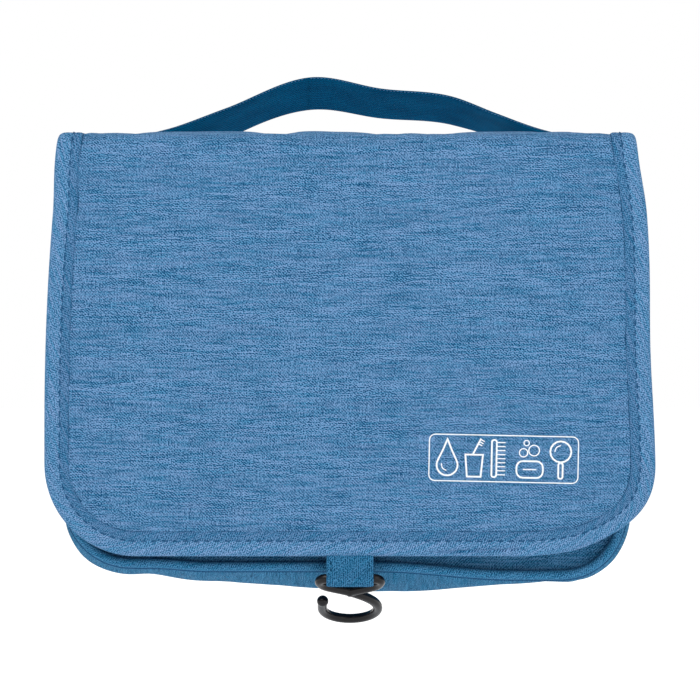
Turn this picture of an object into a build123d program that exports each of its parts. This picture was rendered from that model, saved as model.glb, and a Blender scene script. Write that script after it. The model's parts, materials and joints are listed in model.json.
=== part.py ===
from build123d import *
import os

# Hanging toiletry bag, in millimetres. The front of the bag faces -Y, +X is to the right and +Z is up.
# The origin is the centre of the flat back face. "Depth" is the distance in front of that face.

# ---------------------------------------------------------------- driving dimensions
shell_cloth = 0.8
lining_cloth = 0.4
beyond = 200.0
everywhere = (-beyond, beyond)
quarter_arc_rise = 1 - 0.5 ** 0.5

# Body: a padded back, a barrel-shaped gusset and a recessed front panel
back_half_width = 116.0
back_top = 90.5
back_bottom = -90.5
back_corner = 30.0
back_foam = 2.1
back_depth = shell_cloth + back_foam + lining_cloth
seam_width = 3.0
gusset_front_depth = 73.2
gusset_top = 89.5
gusset_bulge = 118.0
gusset_sag = 4.0
gusset_corner = 28.0
gusset_full_depths = (28.0, 50.0)
front_half_width = 115.0
front_bottom = -84.5
front_corner = 26.0
rim_front_depth = 79.5
front_panel_depth = 74.0

# Zip panel across the top of the body, below the flap
zip_panel_height = 85.1
zip_panel_depth = 40.0

# Flap: a bridge over the top and a front section, folding at two sewn creases
flap_thickness = 3.5
flap_lining = 0.5
flap_foam = 2.2
crease_radius = flap_thickness / 2
crease_gap = 0.1
crease_neck = 1.5
crease_neck_half_length = 110.0
bridge_height = 92.75
rear_crease_depth = 1.75
front_crease_depth = 86.75
flap_top_half_width = 118.5
flap_side_half_width = 123.4
flap_side_height = 36.0
flap_wide_half_width = 125.5
flap_wide_height = -30.0
flap_bottom = -79.1
flap_corner = 38.0
flap_top_margin = 20.0
binding_width = 10.0
binding_cloth = 0.6
binding_edge = 1.0

# Zips: two half chains with a slit, a slider that wraps them and a pull on a post
slit_half = 0.4
chain_edge = 2.2
chain_thickness = 1.8
tape_half_width = 8.0
tape_thickness = 0.6
slider_clearance = 0.2
slider_length = 11.0
slider_width = 8.0
slider_plate = 0.9
slider_web = 0.4
post_radius = 0.9
pull_clearance = 0.08
pull_thickness = 1.0
pull_length = 16.0
pull_width = 6.0
stop_length = 2.0
slider_corner = 2.0
slider_web_inset = 3.0
pull_play = 0.3
pull_corner = 2.4
pull_slot = (6.0, 2.0)
pull_slot_inset = 3.5
post_cap = 0.4
post_cap_rim = 0.7
weld = 0.1
main_zip_half = 100.0
pocket_zip_half = 90.0

# Mesh pockets under the flap
pocket_half_width = 100.0
pocket_border = 5.0
mesh_thickness = 0.6
front_pocket_top = 24.0
front_pocket_bottom = -50.0
front_zip_height = 8.0
flap_pocket_top = 60.0
flap_pocket_bottom = -50.0
flap_zip_height = 45.0
pocket_standoff = 2.1

# Closure magnets, inside the compartment, print
magnet_radius = 7.0
magnet_height = -60.0
magnet_gap = 0.3
loop_radius = 21.0
loop_cloth = 1.0
loop_height = 25.0
loop_spacing = 58.0
loop_end = 5.0
slip_pocket_half_width = 85.0
slip_pocket_heights = (-66.0, 8.0)
slip_pocket_depth = 1.6
slip_pocket_hem = 2.0
print_size = (61.0, 19.0)
print_centre = (62.9, -38.9)
print_thickness = 0.1
print_corner = 2.5
print_line = 0.5

# Handle: webbing in a low arch, hinged at the back of the top edge
handle_axis_depth = -1.6
handle_axis_height = 94.0
handle_half_span = 102.5
handle_crest = (-18.0, 26.6)
handle_cloth = 1.6
handle_width = 20.0
handle_tilt = 32.0
handle_floor = 92.6
handle_roll_radius = 1.2
handle_roll_length = 9.0
handle_roll_reach = 4.0
handle_end_slope = 0.05
anchor_start = 4.7
anchor_width = 4.8
anchor_sheet = 0.5
anchor_post_depths = (-2.8, -0.4)

# Hook and the fabric loop that holds it
tab_width = 19.4
tab_cloth = 1.6
tab_axis_height = -80.5
hook_pivot_height = -88.1
tab_eye_radius = 2.3
tab_eye_wall = 0.8
hook_bar = 4.0
hook_edge_round = 1.4
hook_boss = 0.3
hook_tilt = 65.0
ring_half_width = 9.5
ring_corner = 3.0
neck_height = -14.0
neck_slope = (11.0, -8.5)
seat_centre_height = -31.2
seat_radius = 9.5
hook_tip_height = -24.0


# ---------------------------------------------------------------- shared shapes
def block(x_range, depth_range, z_range):
    """A box between two X values, two depths and two heights."""
    size_x = x_range[1] - x_range[0]
    size_y = depth_range[1] - depth_range[0]
    size_z = z_range[1] - z_range[0]
    centre = Pos(sum(x_range) / 2, -sum(depth_range) / 2, sum(z_range) / 2)
    return centre * Box(size_x, size_y, size_z)


def roll(radius, length, depth, height, x_centre=0.0):
    """A rolled seam or a rod lying along X."""
    return Pos(x_centre, -depth, height) * Rot(0, 90, 0) * Cylinder(radius, length)


def panel(outline, depth_range):
    """A sheet cut to an outline drawn in X and Z, between two depths."""
    near, far = depth_range
    return extrude(Plane.XZ.offset(near) * outline, amount=far - near)


def pouch_outline(half_width, top, bottom, corner):
    """A panel outline with a straight top and round bottom corners."""
    outline = Pos(0, (top + bottom) / 2) * Rectangle(2 * half_width, top - bottom)
    return fillet(outline.vertices().group_by(Axis.Y)[0], corner)


def back_outline(inset=0.0):
    """The back panel's outline, or the same shape drawn in from it."""
    top = back_top - inset
    bottom = back_bottom + inset
    return pouch_outline(back_half_width - inset, top, bottom, back_corner - inset)


def front_outline(inset=0.0):
    """The front panel's outline, or the same shape drawn in from it."""
    top = gusset_top - inset
    bottom = front_bottom + inset
    return pouch_outline(front_half_width - inset, top, bottom, front_corner - inset)


def flap_outline(inset=0.0):
    """The front flap's outline: gently bowed sides and wide round bottom corners."""
    top = bridge_height - crease_radius - crease_gap
    top_corner = (flap_top_half_width, top)
    bow = (flap_side_half_width, flap_side_height)
    widest = (flap_wide_half_width, flap_wide_height)
    low_corner = (flap_wide_half_width, flap_bottom)
    side = ThreePointArc(top_corner, bow, widest)
    half = [Line((0, top), top_corner), side, Line(widest, low_corner)]
    half += [Line(low_corner, (0, flap_bottom)), Line((0, flap_bottom), (0, top))]
    right = make_face(half)
    outline = (right + mirror(right, Plane.YZ)).clean()
    outline = fillet(outline.vertices().group_by(Axis.Y)[0], flap_corner)
    if inset:
        below_top = Pos(0, top - beyond / 2) * Rectangle(2 * beyond, beyond)
        margin = Rectangle(2 * flap_top_half_width, flap_top_margin)
        taller = outline + Pos(0, top + flap_top_margin / 2) * margin
        outline = offset(taller, -inset, kind=Kind.INTERSECTION) & below_top
    return outline


def pocket_outline(top, bottom, inset=0.0):
    """A mesh pocket's rectangle, with the inside of its border when inset."""
    width = 2 * (pocket_half_width - inset)
    height = top - bottom - 2 * inset
    return Pos(0, (top + bottom) / 2) * Rectangle(width, height)


def save(**nodes):
    """Write each node to its own STEP file."""
    for name, shape in nodes.items():
        export_step(shape, os.path.join("parts", name + ".step"))


# ---------------------------------------------------------------- body panels
def gusset_hull(inset, top):
    """The barrel between back and front, drawn in by the cloth thickness."""
    sagging = back_bottom - gusset_sag
    stations = [
        (back_depth, back_half_width, back_bottom, back_corner),
        (gusset_full_depths[0], gusset_bulge, sagging, gusset_corner),
        (gusset_full_depths[1], gusset_bulge, sagging, gusset_corner),
        (gusset_front_depth, front_half_width, front_bottom, front_corner),
    ]
    sections = []
    for depth, half_width, bottom, corner in stations:
        outline = pouch_outline(half_width - inset, top, bottom + inset, corner - inset)
        sections.append(Plane.XZ.offset(depth) * outline)
    return loft(sections, ruled=True)


def build_back():
    """Padded back panel in three layers, with the bound seam around it."""
    inside = back_outline(seam_width)
    foam_start = shell_cloth
    lining_start = shell_cloth + back_foam
    save(
        back_panel_shell=panel(inside, (0, foam_start)),
        back_panel_foam=panel(inside, (foam_start, lining_start)),
        back_panel_lining=panel(inside, (lining_start, back_depth)),
        back_binding=panel(back_outline() - inside, (0, back_depth)),
    )


def build_gusset():
    """Side and bottom wall with its lining."""
    over_top = gusset_top + seam_width
    outer = gusset_hull(0, gusset_top)
    middle = gusset_hull(shell_cloth, over_top)
    inner = gusset_hull(shell_cloth + lining_cloth, over_top)
    below_top = block(everywhere, everywhere, (-beyond, gusset_top))
    save(
        gusset_shell=outer - middle,
        gusset_lining=(middle - inner) & below_top,
    )


def build_front():
    """Recessed front panel, its lining, its bound rim and the slip pocket behind it."""
    inside = front_outline(seam_width)
    shell_front = front_panel_depth + shell_cloth
    lining_back = front_panel_depth - lining_cloth
    pocket_back = lining_back - slip_pocket_depth
    low, high = slip_pocket_heights
    pocket_sides = (-slip_pocket_half_width, slip_pocket_half_width)
    pocket = block(pocket_sides, (pocket_back, lining_back), (low, high))
    room_half = slip_pocket_half_width - slip_pocket_hem
    room_heights = (low + slip_pocket_hem, high)
    room = block((-room_half, room_half), (pocket_back + mesh_thickness, lining_back), room_heights)
    save(
        front_panel_shell=panel(inside, (front_panel_depth, shell_front)),
        front_panel_lining=panel(inside, (lining_back, front_panel_depth)),
        front_rim_binding=panel(front_outline() - inside, (gusset_front_depth, rim_front_depth)),
        inner_slip_pocket=pocket - room,
    )


def build_zip_panel():
    """The two strips of cloth that carry the main zip, joined past its ends by the rear strip."""
    inner = gusset_hull(shell_cloth + lining_cloth, gusset_top)
    heights = (zip_panel_height - shell_cloth / 2, zip_panel_height + shell_cloth / 2)
    tape_front = zip_panel_depth + tape_half_width
    tape_back = zip_panel_depth - tape_half_width
    rear = block(everywhere, (back_depth, tape_back), heights)
    zip_end = main_zip_half + stop_length
    for x_range in ((-beyond, -zip_end), (zip_end, beyond)):
        rear += block(x_range, (tape_back - weld, tape_front), heights)
    front = block(everywhere, (tape_front, gusset_front_depth), heights)
    save(
        top_flange_rear=rear & inner,
        top_flange_front=front & inner,
    )


def build_bottle_loops():
    """Elastic band on the back lining with three bottle loops."""
    length = 3 * loop_spacing + 2 * loop_end
    heights = (-loop_height / 2, loop_height / 2)
    band = block((-length / 2, length / 2), (back_depth, back_depth + loop_cloth), heights)
    for index in (-1, 0, 1):
        place = Pos(index * loop_spacing, -back_depth, 0)
        band += place * Cylinder(loop_radius + loop_cloth, loop_height)
        band -= place * Cylinder(loop_radius, loop_height)
    in_front = block(everywhere, (back_depth, beyond), everywhere)
    save(bottle_elastic_band=band & in_front)


# ---------------------------------------------------------------- zips
def zip_parts(half_length, lower_tape, upper_tape, slider_start):
    """One zip drawn along X in the XY plane, facing +Z: tapes, chains, stops, slider and pull."""
    length = 2 * half_length
    chain_half = chain_thickness / 2

    def strip(y_from, y_to, thickness):
        return Pos(0, (y_from + y_to) / 2, 0) * Box(length, y_to - y_from, thickness)

    tape = strip(-lower_tape, -chain_edge, tape_thickness)
    tape += strip(chain_edge, upper_tape, tape_thickness)
    chain = strip(-chain_edge, -slit_half, chain_thickness)
    chain += strip(slit_half, chain_edge, chain_thickness)
    stops = []
    for end in (-1, 1):
        place = Pos(end * (half_length + stop_length / 2), 0, 0)
        stops.append(place * Box(stop_length, 2 * chain_edge, chain_thickness))

    gap = chain_half + slider_clearance
    plate = Box(slider_length, slider_width, slider_plate)
    plate = fillet(plate.edges().filter_by(Axis.Z), slider_corner)
    slider = Pos(0, 0, gap + slider_plate / 2) * plate + Pos(0, 0, -gap - slider_plate / 2) * plate
    slider += Box(slider_length - slider_web_inset, slider_web, 2 * (gap + weld))
    plate_top = gap + slider_plate
    pull_base = plate_top + pull_play
    pull_top = pull_base + pull_thickness
    cap_base = pull_top + pull_play
    post_height = cap_base - plate_top + weld
    slider += Pos(0, 0, plate_top + post_height / 2) * Cylinder(post_radius, post_height)
    slider += Pos(0, 0, cap_base + post_cap / 2) * Cylinder(post_radius + post_cap_rim, post_cap)

    tab = Pos((pull_length - pull_width) / 2, 0) * Rectangle(pull_length, pull_width)
    tab = fillet(tab.vertices(), pull_corner)
    tab -= Circle(post_radius + pull_clearance)
    tab -= Pos(pull_length - pull_width / 2 - pull_slot_inset, 0) * SlotOverall(*pull_slot)
    pull = Pos(0, 0, pull_base) * extrude(tab, amount=pull_thickness)
    start = Pos(slider_start, 0, 0)
    return {
        "tape": tape,
        "chain": chain,
        "stops": Compound(children=stops),
        "slider": start * slider,
        "pull": start * pull,
    }


def save_zip(prefix, place, parts):
    """Place one zip and write its pieces."""
    for piece, shape in parts.items():
        save(**{prefix + "_" + piece: place * shape})


def build_main_zip():
    """The zip across the top, facing up."""
    start = slider_length / 2 - main_zip_half
    parts = zip_parts(main_zip_half, tape_half_width, tape_half_width, start)
    save_zip("main_zip", Pos(0, -zip_panel_depth, zip_panel_height), parts)


def build_front_pocket():
    """Mesh pocket on the recessed front panel, with its zip facing forward."""
    panel_face = front_panel_depth + shell_cloth
    middle = panel_face + pocket_standoff
    front = middle + tape_thickness / 2
    whole = pocket_outline(front_pocket_top, front_pocket_bottom)
    inside = pocket_outline(front_pocket_top, front_pocket_bottom, pocket_border)
    upper_tape = front_pocket_top - pocket_border - front_zip_height
    mesh_top = front_zip_height - tape_half_width
    mesh_range = (front_pocket_bottom + pocket_border, mesh_top)
    mesh_depths = (middle - mesh_thickness / 2, front)
    inner_half = pocket_half_width - pocket_border
    save(
        front_pocket_border=panel(whole - inside, (panel_face, front)),
        front_pocket_mesh=block((-inner_half, inner_half), mesh_depths, mesh_range),
    )
    start = slider_length / 2 - pocket_zip_half
    parts = zip_parts(pocket_zip_half, tape_half_width, upper_tape, start)
    save_zip("front_pocket_zip", Pos(0, -middle, front_zip_height) * Rot(90, 0, 0), parts)


def build_flap_pocket():
    """Mesh pocket on the inside of the flap, with its zip facing the body."""
    lining_face = front_crease_depth - crease_radius
    middle = lining_face - pocket_standoff
    back = middle - tape_thickness / 2
    whole = pocket_outline(flap_pocket_top, flap_pocket_bottom)
    inside = pocket_outline(flap_pocket_top, flap_pocket_bottom, pocket_border)
    upper_tape = flap_pocket_top - pocket_border - flap_zip_height
    mesh_top = flap_zip_height - tape_half_width
    mesh_range = (flap_pocket_bottom + pocket_border, mesh_top)
    mesh_depths = (back, middle + mesh_thickness / 2)
    inner_half = pocket_half_width - pocket_border
    save(
        flap_pocket_border=panel(whole - inside, (back, lining_face)),
        flap_pocket_mesh=block((-inner_half, inner_half), mesh_depths, mesh_range),
    )
    start = slider_length / 2 - pocket_zip_half
    parts = zip_parts(pocket_zip_half, upper_tape, tape_half_width, start)
    save_zip("flap_pocket_zip", Pos(0, -middle, flap_zip_height) * Rot(-90, 0, 0), parts)


def build_magnets():
    """A pair of closure magnets that meet when the flap is shut."""
    panel_face = front_panel_depth + shell_cloth
    lining_face = front_crease_depth - crease_radius
    meet = (panel_face + lining_face) / 2
    disc = Pos(0, magnet_height) * Circle(magnet_radius)
    save(
        body_closure_magnet=panel(disc, (panel_face, meet - magnet_gap / 2)),
        flap_closure_magnet=panel(disc, (meet + magnet_gap / 2, lining_face)),
    )


# ---------------------------------------------------------------- flap
def build_creases():
    """Rolled seams on the two fold axes, each with the neck that is sewn into a panel."""
    length = 2 * flap_top_half_width
    rear = roll(crease_radius, length, rear_crease_depth, bridge_height)
    neck_half = crease_neck / 2
    neck_length = (-crease_neck_half_length, crease_neck_half_length)
    rear_neck = (rear_crease_depth - neck_half, rear_crease_depth + neck_half)
    rear += block(neck_length, rear_neck, (back_top, bridge_height))
    front = roll(crease_radius, length, front_crease_depth, bridge_height)
    flap_edge = bridge_height - crease_radius - crease_gap
    front_neck = (front_crease_depth - neck_half, front_crease_depth + neck_half)
    front += block(neck_length, front_neck, (flap_edge, bridge_height))
    save(flap_rear_crease=rear, flap_front_crease=front)


def build_bridge():
    """The part of the flap that lies over the top of the bag."""
    reach = crease_radius + crease_gap
    depths = (rear_crease_depth + reach, front_crease_depth - reach)
    binding_depths = (depths[0], depths[1] - binding_cloth - crease_gap)
    under = bridge_height - crease_radius
    foam_start = under + flap_lining
    shell_start = foam_start + flap_foam
    top = bridge_height + crease_radius
    inner_half = flap_top_half_width - binding_edge
    sides = (-inner_half, inner_half)
    filled = block(sides, depths, (under, top))
    bindings = []
    for side in (-1, 1):
        x_range = sorted((side * flap_top_half_width, side * (flap_top_half_width - binding_width)))
        outer = block(x_range, binding_depths, (under - binding_cloth, top + binding_cloth))
        bindings.append(outer - filled)
    save(
        bridge_lining=block(sides, depths, (under, foam_start)),
        bridge_foam=block(sides, depths, (foam_start, shell_start)),
        bridge_shell=block(sides, depths, (shell_start, top)),
        bridge_binding=Compound(children=bindings),
    )


def build_flap():
    """The front section of the flap, with its padded layers and bias binding."""
    inner_face = front_crease_depth - crease_radius
    foam_start = inner_face + flap_lining
    shell_start = foam_start + flap_foam
    outer_face = front_crease_depth + crease_radius
    layer = flap_outline(binding_edge)
    rim = flap_outline() - flap_outline(binding_width)
    binding = panel(rim, (inner_face - binding_cloth, outer_face + binding_cloth))
    binding -= panel(layer, (inner_face, outer_face))
    width, height = print_size
    plate = RectangleRounded(width, height, print_corner)
    hole = RectangleRounded(width - 2 * print_line, height - 2 * print_line, print_corner - print_line)
    ring = plate - hole
    save(
        flap_lining=panel(layer, (inner_face, foam_start)),
        flap_foam=panel(layer, (foam_start, shell_start)),
        flap_shell=panel(layer, (shell_start, outer_face)),
        flap_binding=binding,
        flap_print=panel(Pos(*print_centre) * ring, (outer_face, outer_face + print_thickness)),
    )


# ---------------------------------------------------------------- handle
def build_handle():
    """Webbing strap in a low arch with rolled ends, and the two anchors that hold it."""
    axis = (-handle_axis_depth, handle_axis_height)
    tilted = Plane(origin=(0, axis[0], axis[1]), x_dir=(1, 0, 0), z_dir=(0, 1, 0))
    tilted = tilted.rotated((-handle_tilt, 0, 0))
    crest_x, crest_rise = handle_crest
    span = handle_half_span
    crest = (crest_x, -crest_rise)
    slopes = [(1, -handle_end_slope), (1, 0), (1, handle_end_slope)]
    arch = Spline([(-span, 0), crest, (span, 0)], tangents=slopes)
    strap = extrude(tilted * trace(arch, line_width=handle_cloth), amount=handle_width)
    strap = strap & block(everywhere, everywhere, (handle_floor, beyond))
    shelf_range = (back_top + anchor_sheet, back_top + 2 * anchor_sheet)
    rear, front = anchor_post_depths
    anchors = []
    for side in (-1, 1):
        roll_centre = side * (handle_half_span + handle_roll_reach - handle_roll_length / 2)
        strap += roll(handle_roll_radius, handle_roll_length, handle_axis_depth, axis[1], roll_centre)
        near = side * (handle_half_span + anchor_start)
        x_range = sorted((near, near + side * anchor_width))
        foot = block(x_range, (0, anchor_sheet), (back_top, shelf_range[1]))
        shelf = block(x_range, (rear, anchor_sheet), shelf_range)
        post = block(x_range, (rear, front), (shelf_range[0], axis[1]))
        anchors.append(foot + shelf + post)
    save(handle_strap=strap, handle_anchors=Compound(children=anchors))


# ---------------------------------------------------------------- hook
def build_tab():
    """Fabric loop that hangs from the flap's bottom edge and holds the hook."""
    strip_half = tab_cloth / 2
    depths = (front_crease_depth - strip_half, front_crease_depth + strip_half)
    half = tab_width / 2
    eye_outer = tab_eye_radius + tab_eye_wall
    tab = block((-half, half), depths, (hook_pivot_height, tab_axis_height))
    tab += roll(strip_half, tab_width, front_crease_depth, tab_axis_height)
    tab += roll(eye_outer, tab_width, front_crease_depth, hook_pivot_height)
    tab -= roll(tab_eye_radius, 2 * tab_width, front_crease_depth, hook_pivot_height)
    save(hook_tab_loop=tab)


def hook_centre_lines():
    """The bent bar's centre lines, with the pivot on the X axis: two ring halves and the open hook."""
    side = ring_half_width + ring_corner
    middle = side - ring_corner * quarter_arc_rise
    dip = -ring_corner * quarter_arc_rise
    neck = (0, neck_height)
    outer = seat_radius + hook_bar / 2
    low = seat_centre_height
    lines = []
    for hand in (-1, 1):
        top = Line((0, 0), (hand * ring_half_width, 0))
        corner = ThreePointArc(top @ 1, (hand * middle, dip), (hand * side, -ring_corner))
        bar = Spline([corner @ 1, neck], tangents=[(0, -1), (-hand * neck_slope[0], neck_slope[1])])
        lines.append(Wire([top, corner, bar]))
    curl = Spline([neck, (outer, low)], tangents=[neck_slope, (0, -1)])
    bowl = ThreePointArc((outer, low), (0, low - outer), (-outer, low))
    tip = Line((-outer, low), (-outer, hook_tip_height))
    lines.append(Wire([curl, bowl, tip]))
    return lines


def build_hook():
    """One-piece moulded hook: a ring for the fabric loop and an open hook below it."""
    section = RectangleRounded(hook_bar, hook_bar, hook_edge_round)
    hook = Part()
    for line in hook_centre_lines():
        start = Plane(origin=line @ 0, x_dir=(0, 0, 1), z_dir=line % 0)
        hook += sweep(start * section, path=line)
    boss_radius = hook_bar / 2 + hook_boss
    for centre in ((0, neck_height), (-seat_radius - hook_bar / 2, hook_tip_height)):
        boss = Cylinder(boss_radius, hook_bar)
        boss = fillet(boss.edges().filter_by(GeomType.CIRCLE), hook_edge_round)
        hook += Pos(*centre) * boss
    pivot = Plane(origin=(0, -front_crease_depth, hook_pivot_height), x_dir=(1, 0, 0), z_dir=(0, -1, 0))
    save(hanging_hook=pivot.rotated((hook_tilt, 0, 0)) * hook)


os.makedirs("parts", exist_ok=True)
build_back()
build_gusset()
build_front()
build_zip_panel()
build_bottle_loops()
build_main_zip()
build_front_pocket()
build_flap_pocket()
build_magnets()
build_creases()
build_bridge()
build_flap()
build_handle()
build_tab()
build_hook()
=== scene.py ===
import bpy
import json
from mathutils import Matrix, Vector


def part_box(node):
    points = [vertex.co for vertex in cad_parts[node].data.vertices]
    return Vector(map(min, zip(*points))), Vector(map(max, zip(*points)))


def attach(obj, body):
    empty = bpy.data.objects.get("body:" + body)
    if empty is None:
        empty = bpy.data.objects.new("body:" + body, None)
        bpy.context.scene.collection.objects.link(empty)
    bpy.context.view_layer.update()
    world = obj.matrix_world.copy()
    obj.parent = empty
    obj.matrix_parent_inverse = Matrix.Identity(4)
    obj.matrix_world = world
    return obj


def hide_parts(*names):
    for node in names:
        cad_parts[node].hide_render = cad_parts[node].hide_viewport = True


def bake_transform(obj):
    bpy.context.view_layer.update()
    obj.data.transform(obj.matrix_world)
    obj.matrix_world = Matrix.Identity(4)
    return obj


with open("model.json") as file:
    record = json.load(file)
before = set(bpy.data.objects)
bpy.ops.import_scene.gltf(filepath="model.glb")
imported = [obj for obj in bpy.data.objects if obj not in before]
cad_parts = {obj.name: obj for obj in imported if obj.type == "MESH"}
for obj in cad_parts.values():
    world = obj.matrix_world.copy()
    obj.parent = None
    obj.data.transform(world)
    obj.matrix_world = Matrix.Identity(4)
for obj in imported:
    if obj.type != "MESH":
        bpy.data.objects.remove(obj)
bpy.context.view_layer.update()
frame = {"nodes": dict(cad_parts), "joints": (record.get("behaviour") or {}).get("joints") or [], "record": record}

import json
import math
import bpy
import numpy as np
from mathutils import Vector
from mathutils.bvhtree import BVHTree

# The bag's soft pieces are drawn as flat patterns in millimetres, folded into place around the frame's
# boxes and joint axes, and written out in metres. Depth is the distance in front of the bag's back face.

MM = 0.001
HALF_TURN = math.pi
QUARTER = math.pi / 2


# ---------------------------------------------------------------- places taken from the frame
def box_mm(node):
    """A node's lowest and highest corners, in millimetres."""
    low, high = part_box(node)
    return np.array(low) / MM, np.array(high) / MM


def axis_mm(joint_name):
    """A joint's depth and height, in millimetres."""
    joint = next(j for j in frame["joints"] if j["name"] == joint_name)
    return -joint["pos_m"][1] / MM, joint["pos_m"][2] / MM


rear_depth, crease_height = axis_mm("flap_rear_fold")
front_depth = axis_mm("flap_front_fold")[0]
tab_height = axis_mm("hook_tab_fold")[1]
pivot_height = axis_mm("hook_swing")[1]
bridge_half = box_mm("bridge_binding")[1][0]
flap_low, flap_high = box_mm("flap_binding")
back_low, back_high = box_mm("back_binding")
rim_low, rim_high = box_mm("front_rim_binding")
gusset_high = box_mm("gusset_shell")[1]
strap_high = box_mm("handle_strap")[1]
back_depth = -back_low[1]
wall_front = -rim_high[1]

SHEET = 3.5
HALF_SHEET = SHEET / 2
FOLD_RADIUS = 4.5
FOLD_LENGTH = QUARTER * FOLD_RADIUS
FOLD_REACH = 7.0
TAPE_WIDTH = 10.0
TAPE_FACE = HALF_SHEET + 0.45
SEAM_LAP = 1.6
STITCH_INSET = 6.4
SEAM_DEPTH = (rear_depth + front_depth) / 2
STRAP_WIDTH = 20.0
STRAP_THICK = 1.5
HOOK_BAR = 4.0


# ---------------------------------------------------------------- small maths
def smooth(t):
    """An even step from 0 to 1."""
    t = np.clip(t, 0.0, 1.0)
    return t * t * (3 - 2 * t)


def step(value, start, length):
    """An even step from 0 to 1 that begins at a value and takes a length."""
    return smooth((value - start) / length)


def unit(vectors):
    """Vectors scaled to length one."""
    return vectors / (np.linalg.norm(vectors, axis=-1, keepdims=True) + 1e-9)


def at(places, keys, rows):
    """Rows of numbers read off between their keys."""
    return np.stack([np.interp(places, keys, column) for column in np.asarray(rows).T], axis=-1)


def ripple(a, b, seed):
    """A repeatable soft unevenness between -1 and 1, made of a few sine waves."""
    total = np.zeros_like(np.asarray(a, float))
    rng = np.random.default_rng(seed)
    waves = 5
    for _ in range(waves):
        angle, phase = rng.uniform(0, 2 * HALF_TURN, 2)
        pitch = rng.uniform(0.8, 1.7)
        total = total + np.sin((a * math.cos(angle) + b * math.sin(angle)) * pitch + phase)
    return total / waves


def arc_lengths(points):
    """Distance along a polyline to each of its points."""
    steps = np.linalg.norm(np.diff(points, axis=0), axis=1)
    return np.concatenate([[0], np.cumsum(steps)])


def resample(points, spacing):
    """Points spread evenly along a polyline."""
    length = arc_lengths(points)
    count = int(round(length[-1] / spacing)) + 1
    return at(np.linspace(0, length[-1], count), length, points)


def inward(points):
    """Unit vectors pointing into the cloth, for an outline that runs with the cloth on its left."""
    tangent = unit(np.gradient(points, axis=0))
    return np.stack([-tangent[:, 1], tangent[:, 0]], axis=1)


def edge_distance(x, s, outline):
    """Distance from each pattern point to an outline."""
    gaps = np.hypot(x.ravel()[:, None] - outline[None, :, 0], s.ravel()[:, None] - outline[None, :, 1])
    return gaps.min(axis=1).reshape(x.shape)


def spline(xs, ys, x):
    """A smooth curve through a few points, with flat ends."""
    xs, ys = np.asarray(xs, float), np.asarray(ys, float)
    slopes = np.gradient(ys, xs)
    slopes[0] = slopes[-1] = 0
    k = np.clip(np.searchsorted(xs, x) - 1, 0, len(xs) - 2)
    h = xs[k + 1] - xs[k]
    t = np.clip((x - xs[k]) / h, 0, 1)
    rise = (1 + 2 * t) * (1 - t) ** 2 * ys[k] + t * t * (3 - 2 * t) * ys[k + 1]
    return rise + t * (1 - t) ** 2 * h * slopes[k] + t * t * (t - 1) * h * slopes[k + 1]


# ---------------------------------------------------------------- meshes
def show(name, mesh):
    """A new object in the scene."""
    obj = bpy.data.objects.new(name, mesh)
    bpy.context.scene.collection.objects.link(obj)
    return obj


def round_off(obj):
    """Smooth an object's mesh by one step of subdivision."""
    modifier = obj.modifiers.new("round", "SUBSURF")
    modifier.levels = modifier.render_levels = 1


def make_mesh(name, points, faces, uv=None, materials=(), slots=None, subdivide=False):
    """A smooth mesh object from millimetre points, with its pattern coordinates as a UV map in metres."""
    mesh = bpy.data.meshes.new(name)
    mesh.from_pydata((np.asarray(points) * MM).tolist(), [], faces)
    mesh.update()
    mesh.shade_smooth()
    if uv is not None:
        layer = mesh.uv_layers.new(name="cloth")
        corners = np.zeros(len(mesh.loops), np.int32)
        mesh.loops.foreach_get("vertex_index", corners)
        layer.data.foreach_set("uv", (np.asarray(uv)[corners] * MM).astype(np.float32).ravel())
    for material in materials:
        mesh.materials.append(material)
    if slots is not None:
        mesh.polygons.foreach_set("material_index", np.asarray(slots, np.int32))
    obj = show(name, mesh)
    if subdivide:
        round_off(obj)
    return obj


def outward(obj):
    """Turn a closed mesh's faces so that they all face out."""
    bpy.context.view_layer.objects.active = obj
    obj.select_set(True)
    bpy.ops.object.mode_set(mode="EDIT")
    bpy.ops.mesh.select_all(action="SELECT")
    bpy.ops.mesh.normals_make_consistent(inside=False)
    bpy.ops.object.mode_set(mode="OBJECT")
    obj.select_set(False)
    return obj


def sheet_faces(rows, columns, start=0, flip=False, wrap=False):
    """Quads of a grid of points stored row by row."""
    faces = []
    for r in range(rows - 1):
        for c in range(columns if wrap else columns - 1):
            n = (c + 1) % columns
            a = start + r * columns
            quad = (a + c, a + n, a + columns + n, a + columns + c)
            faces.append(quad[::-1] if flip else quad)
    return faces


def capped(rings, size):
    """Faces of a closed bar made of rings of points."""
    ends = [tuple(range(size))[::-1], tuple(range((rings - 1) * size, rings * size))]
    return sheet_faces(rings, size, wrap=True) + ends


def joined_ring(rings, size):
    """Faces of a frame made of rings of points, whose last ring meets the first."""
    last = (rings - 1) * size
    return sheet_faces(rings, size, wrap=True) + [
        (last + c, last + (c + 1) % size, (c + 1) % size, c) for c in range(size)]


def border(rows, columns):
    """Indices round the border of a grid."""
    top = list(range(columns))
    right = [r * columns + columns - 1 for r in range(1, rows)]
    low = [(rows - 1) * columns + c for c in range(columns - 2, -1, -1)]
    left = [r * columns for r in range(rows - 2, 0, -1)]
    return top + right + low + left


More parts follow.
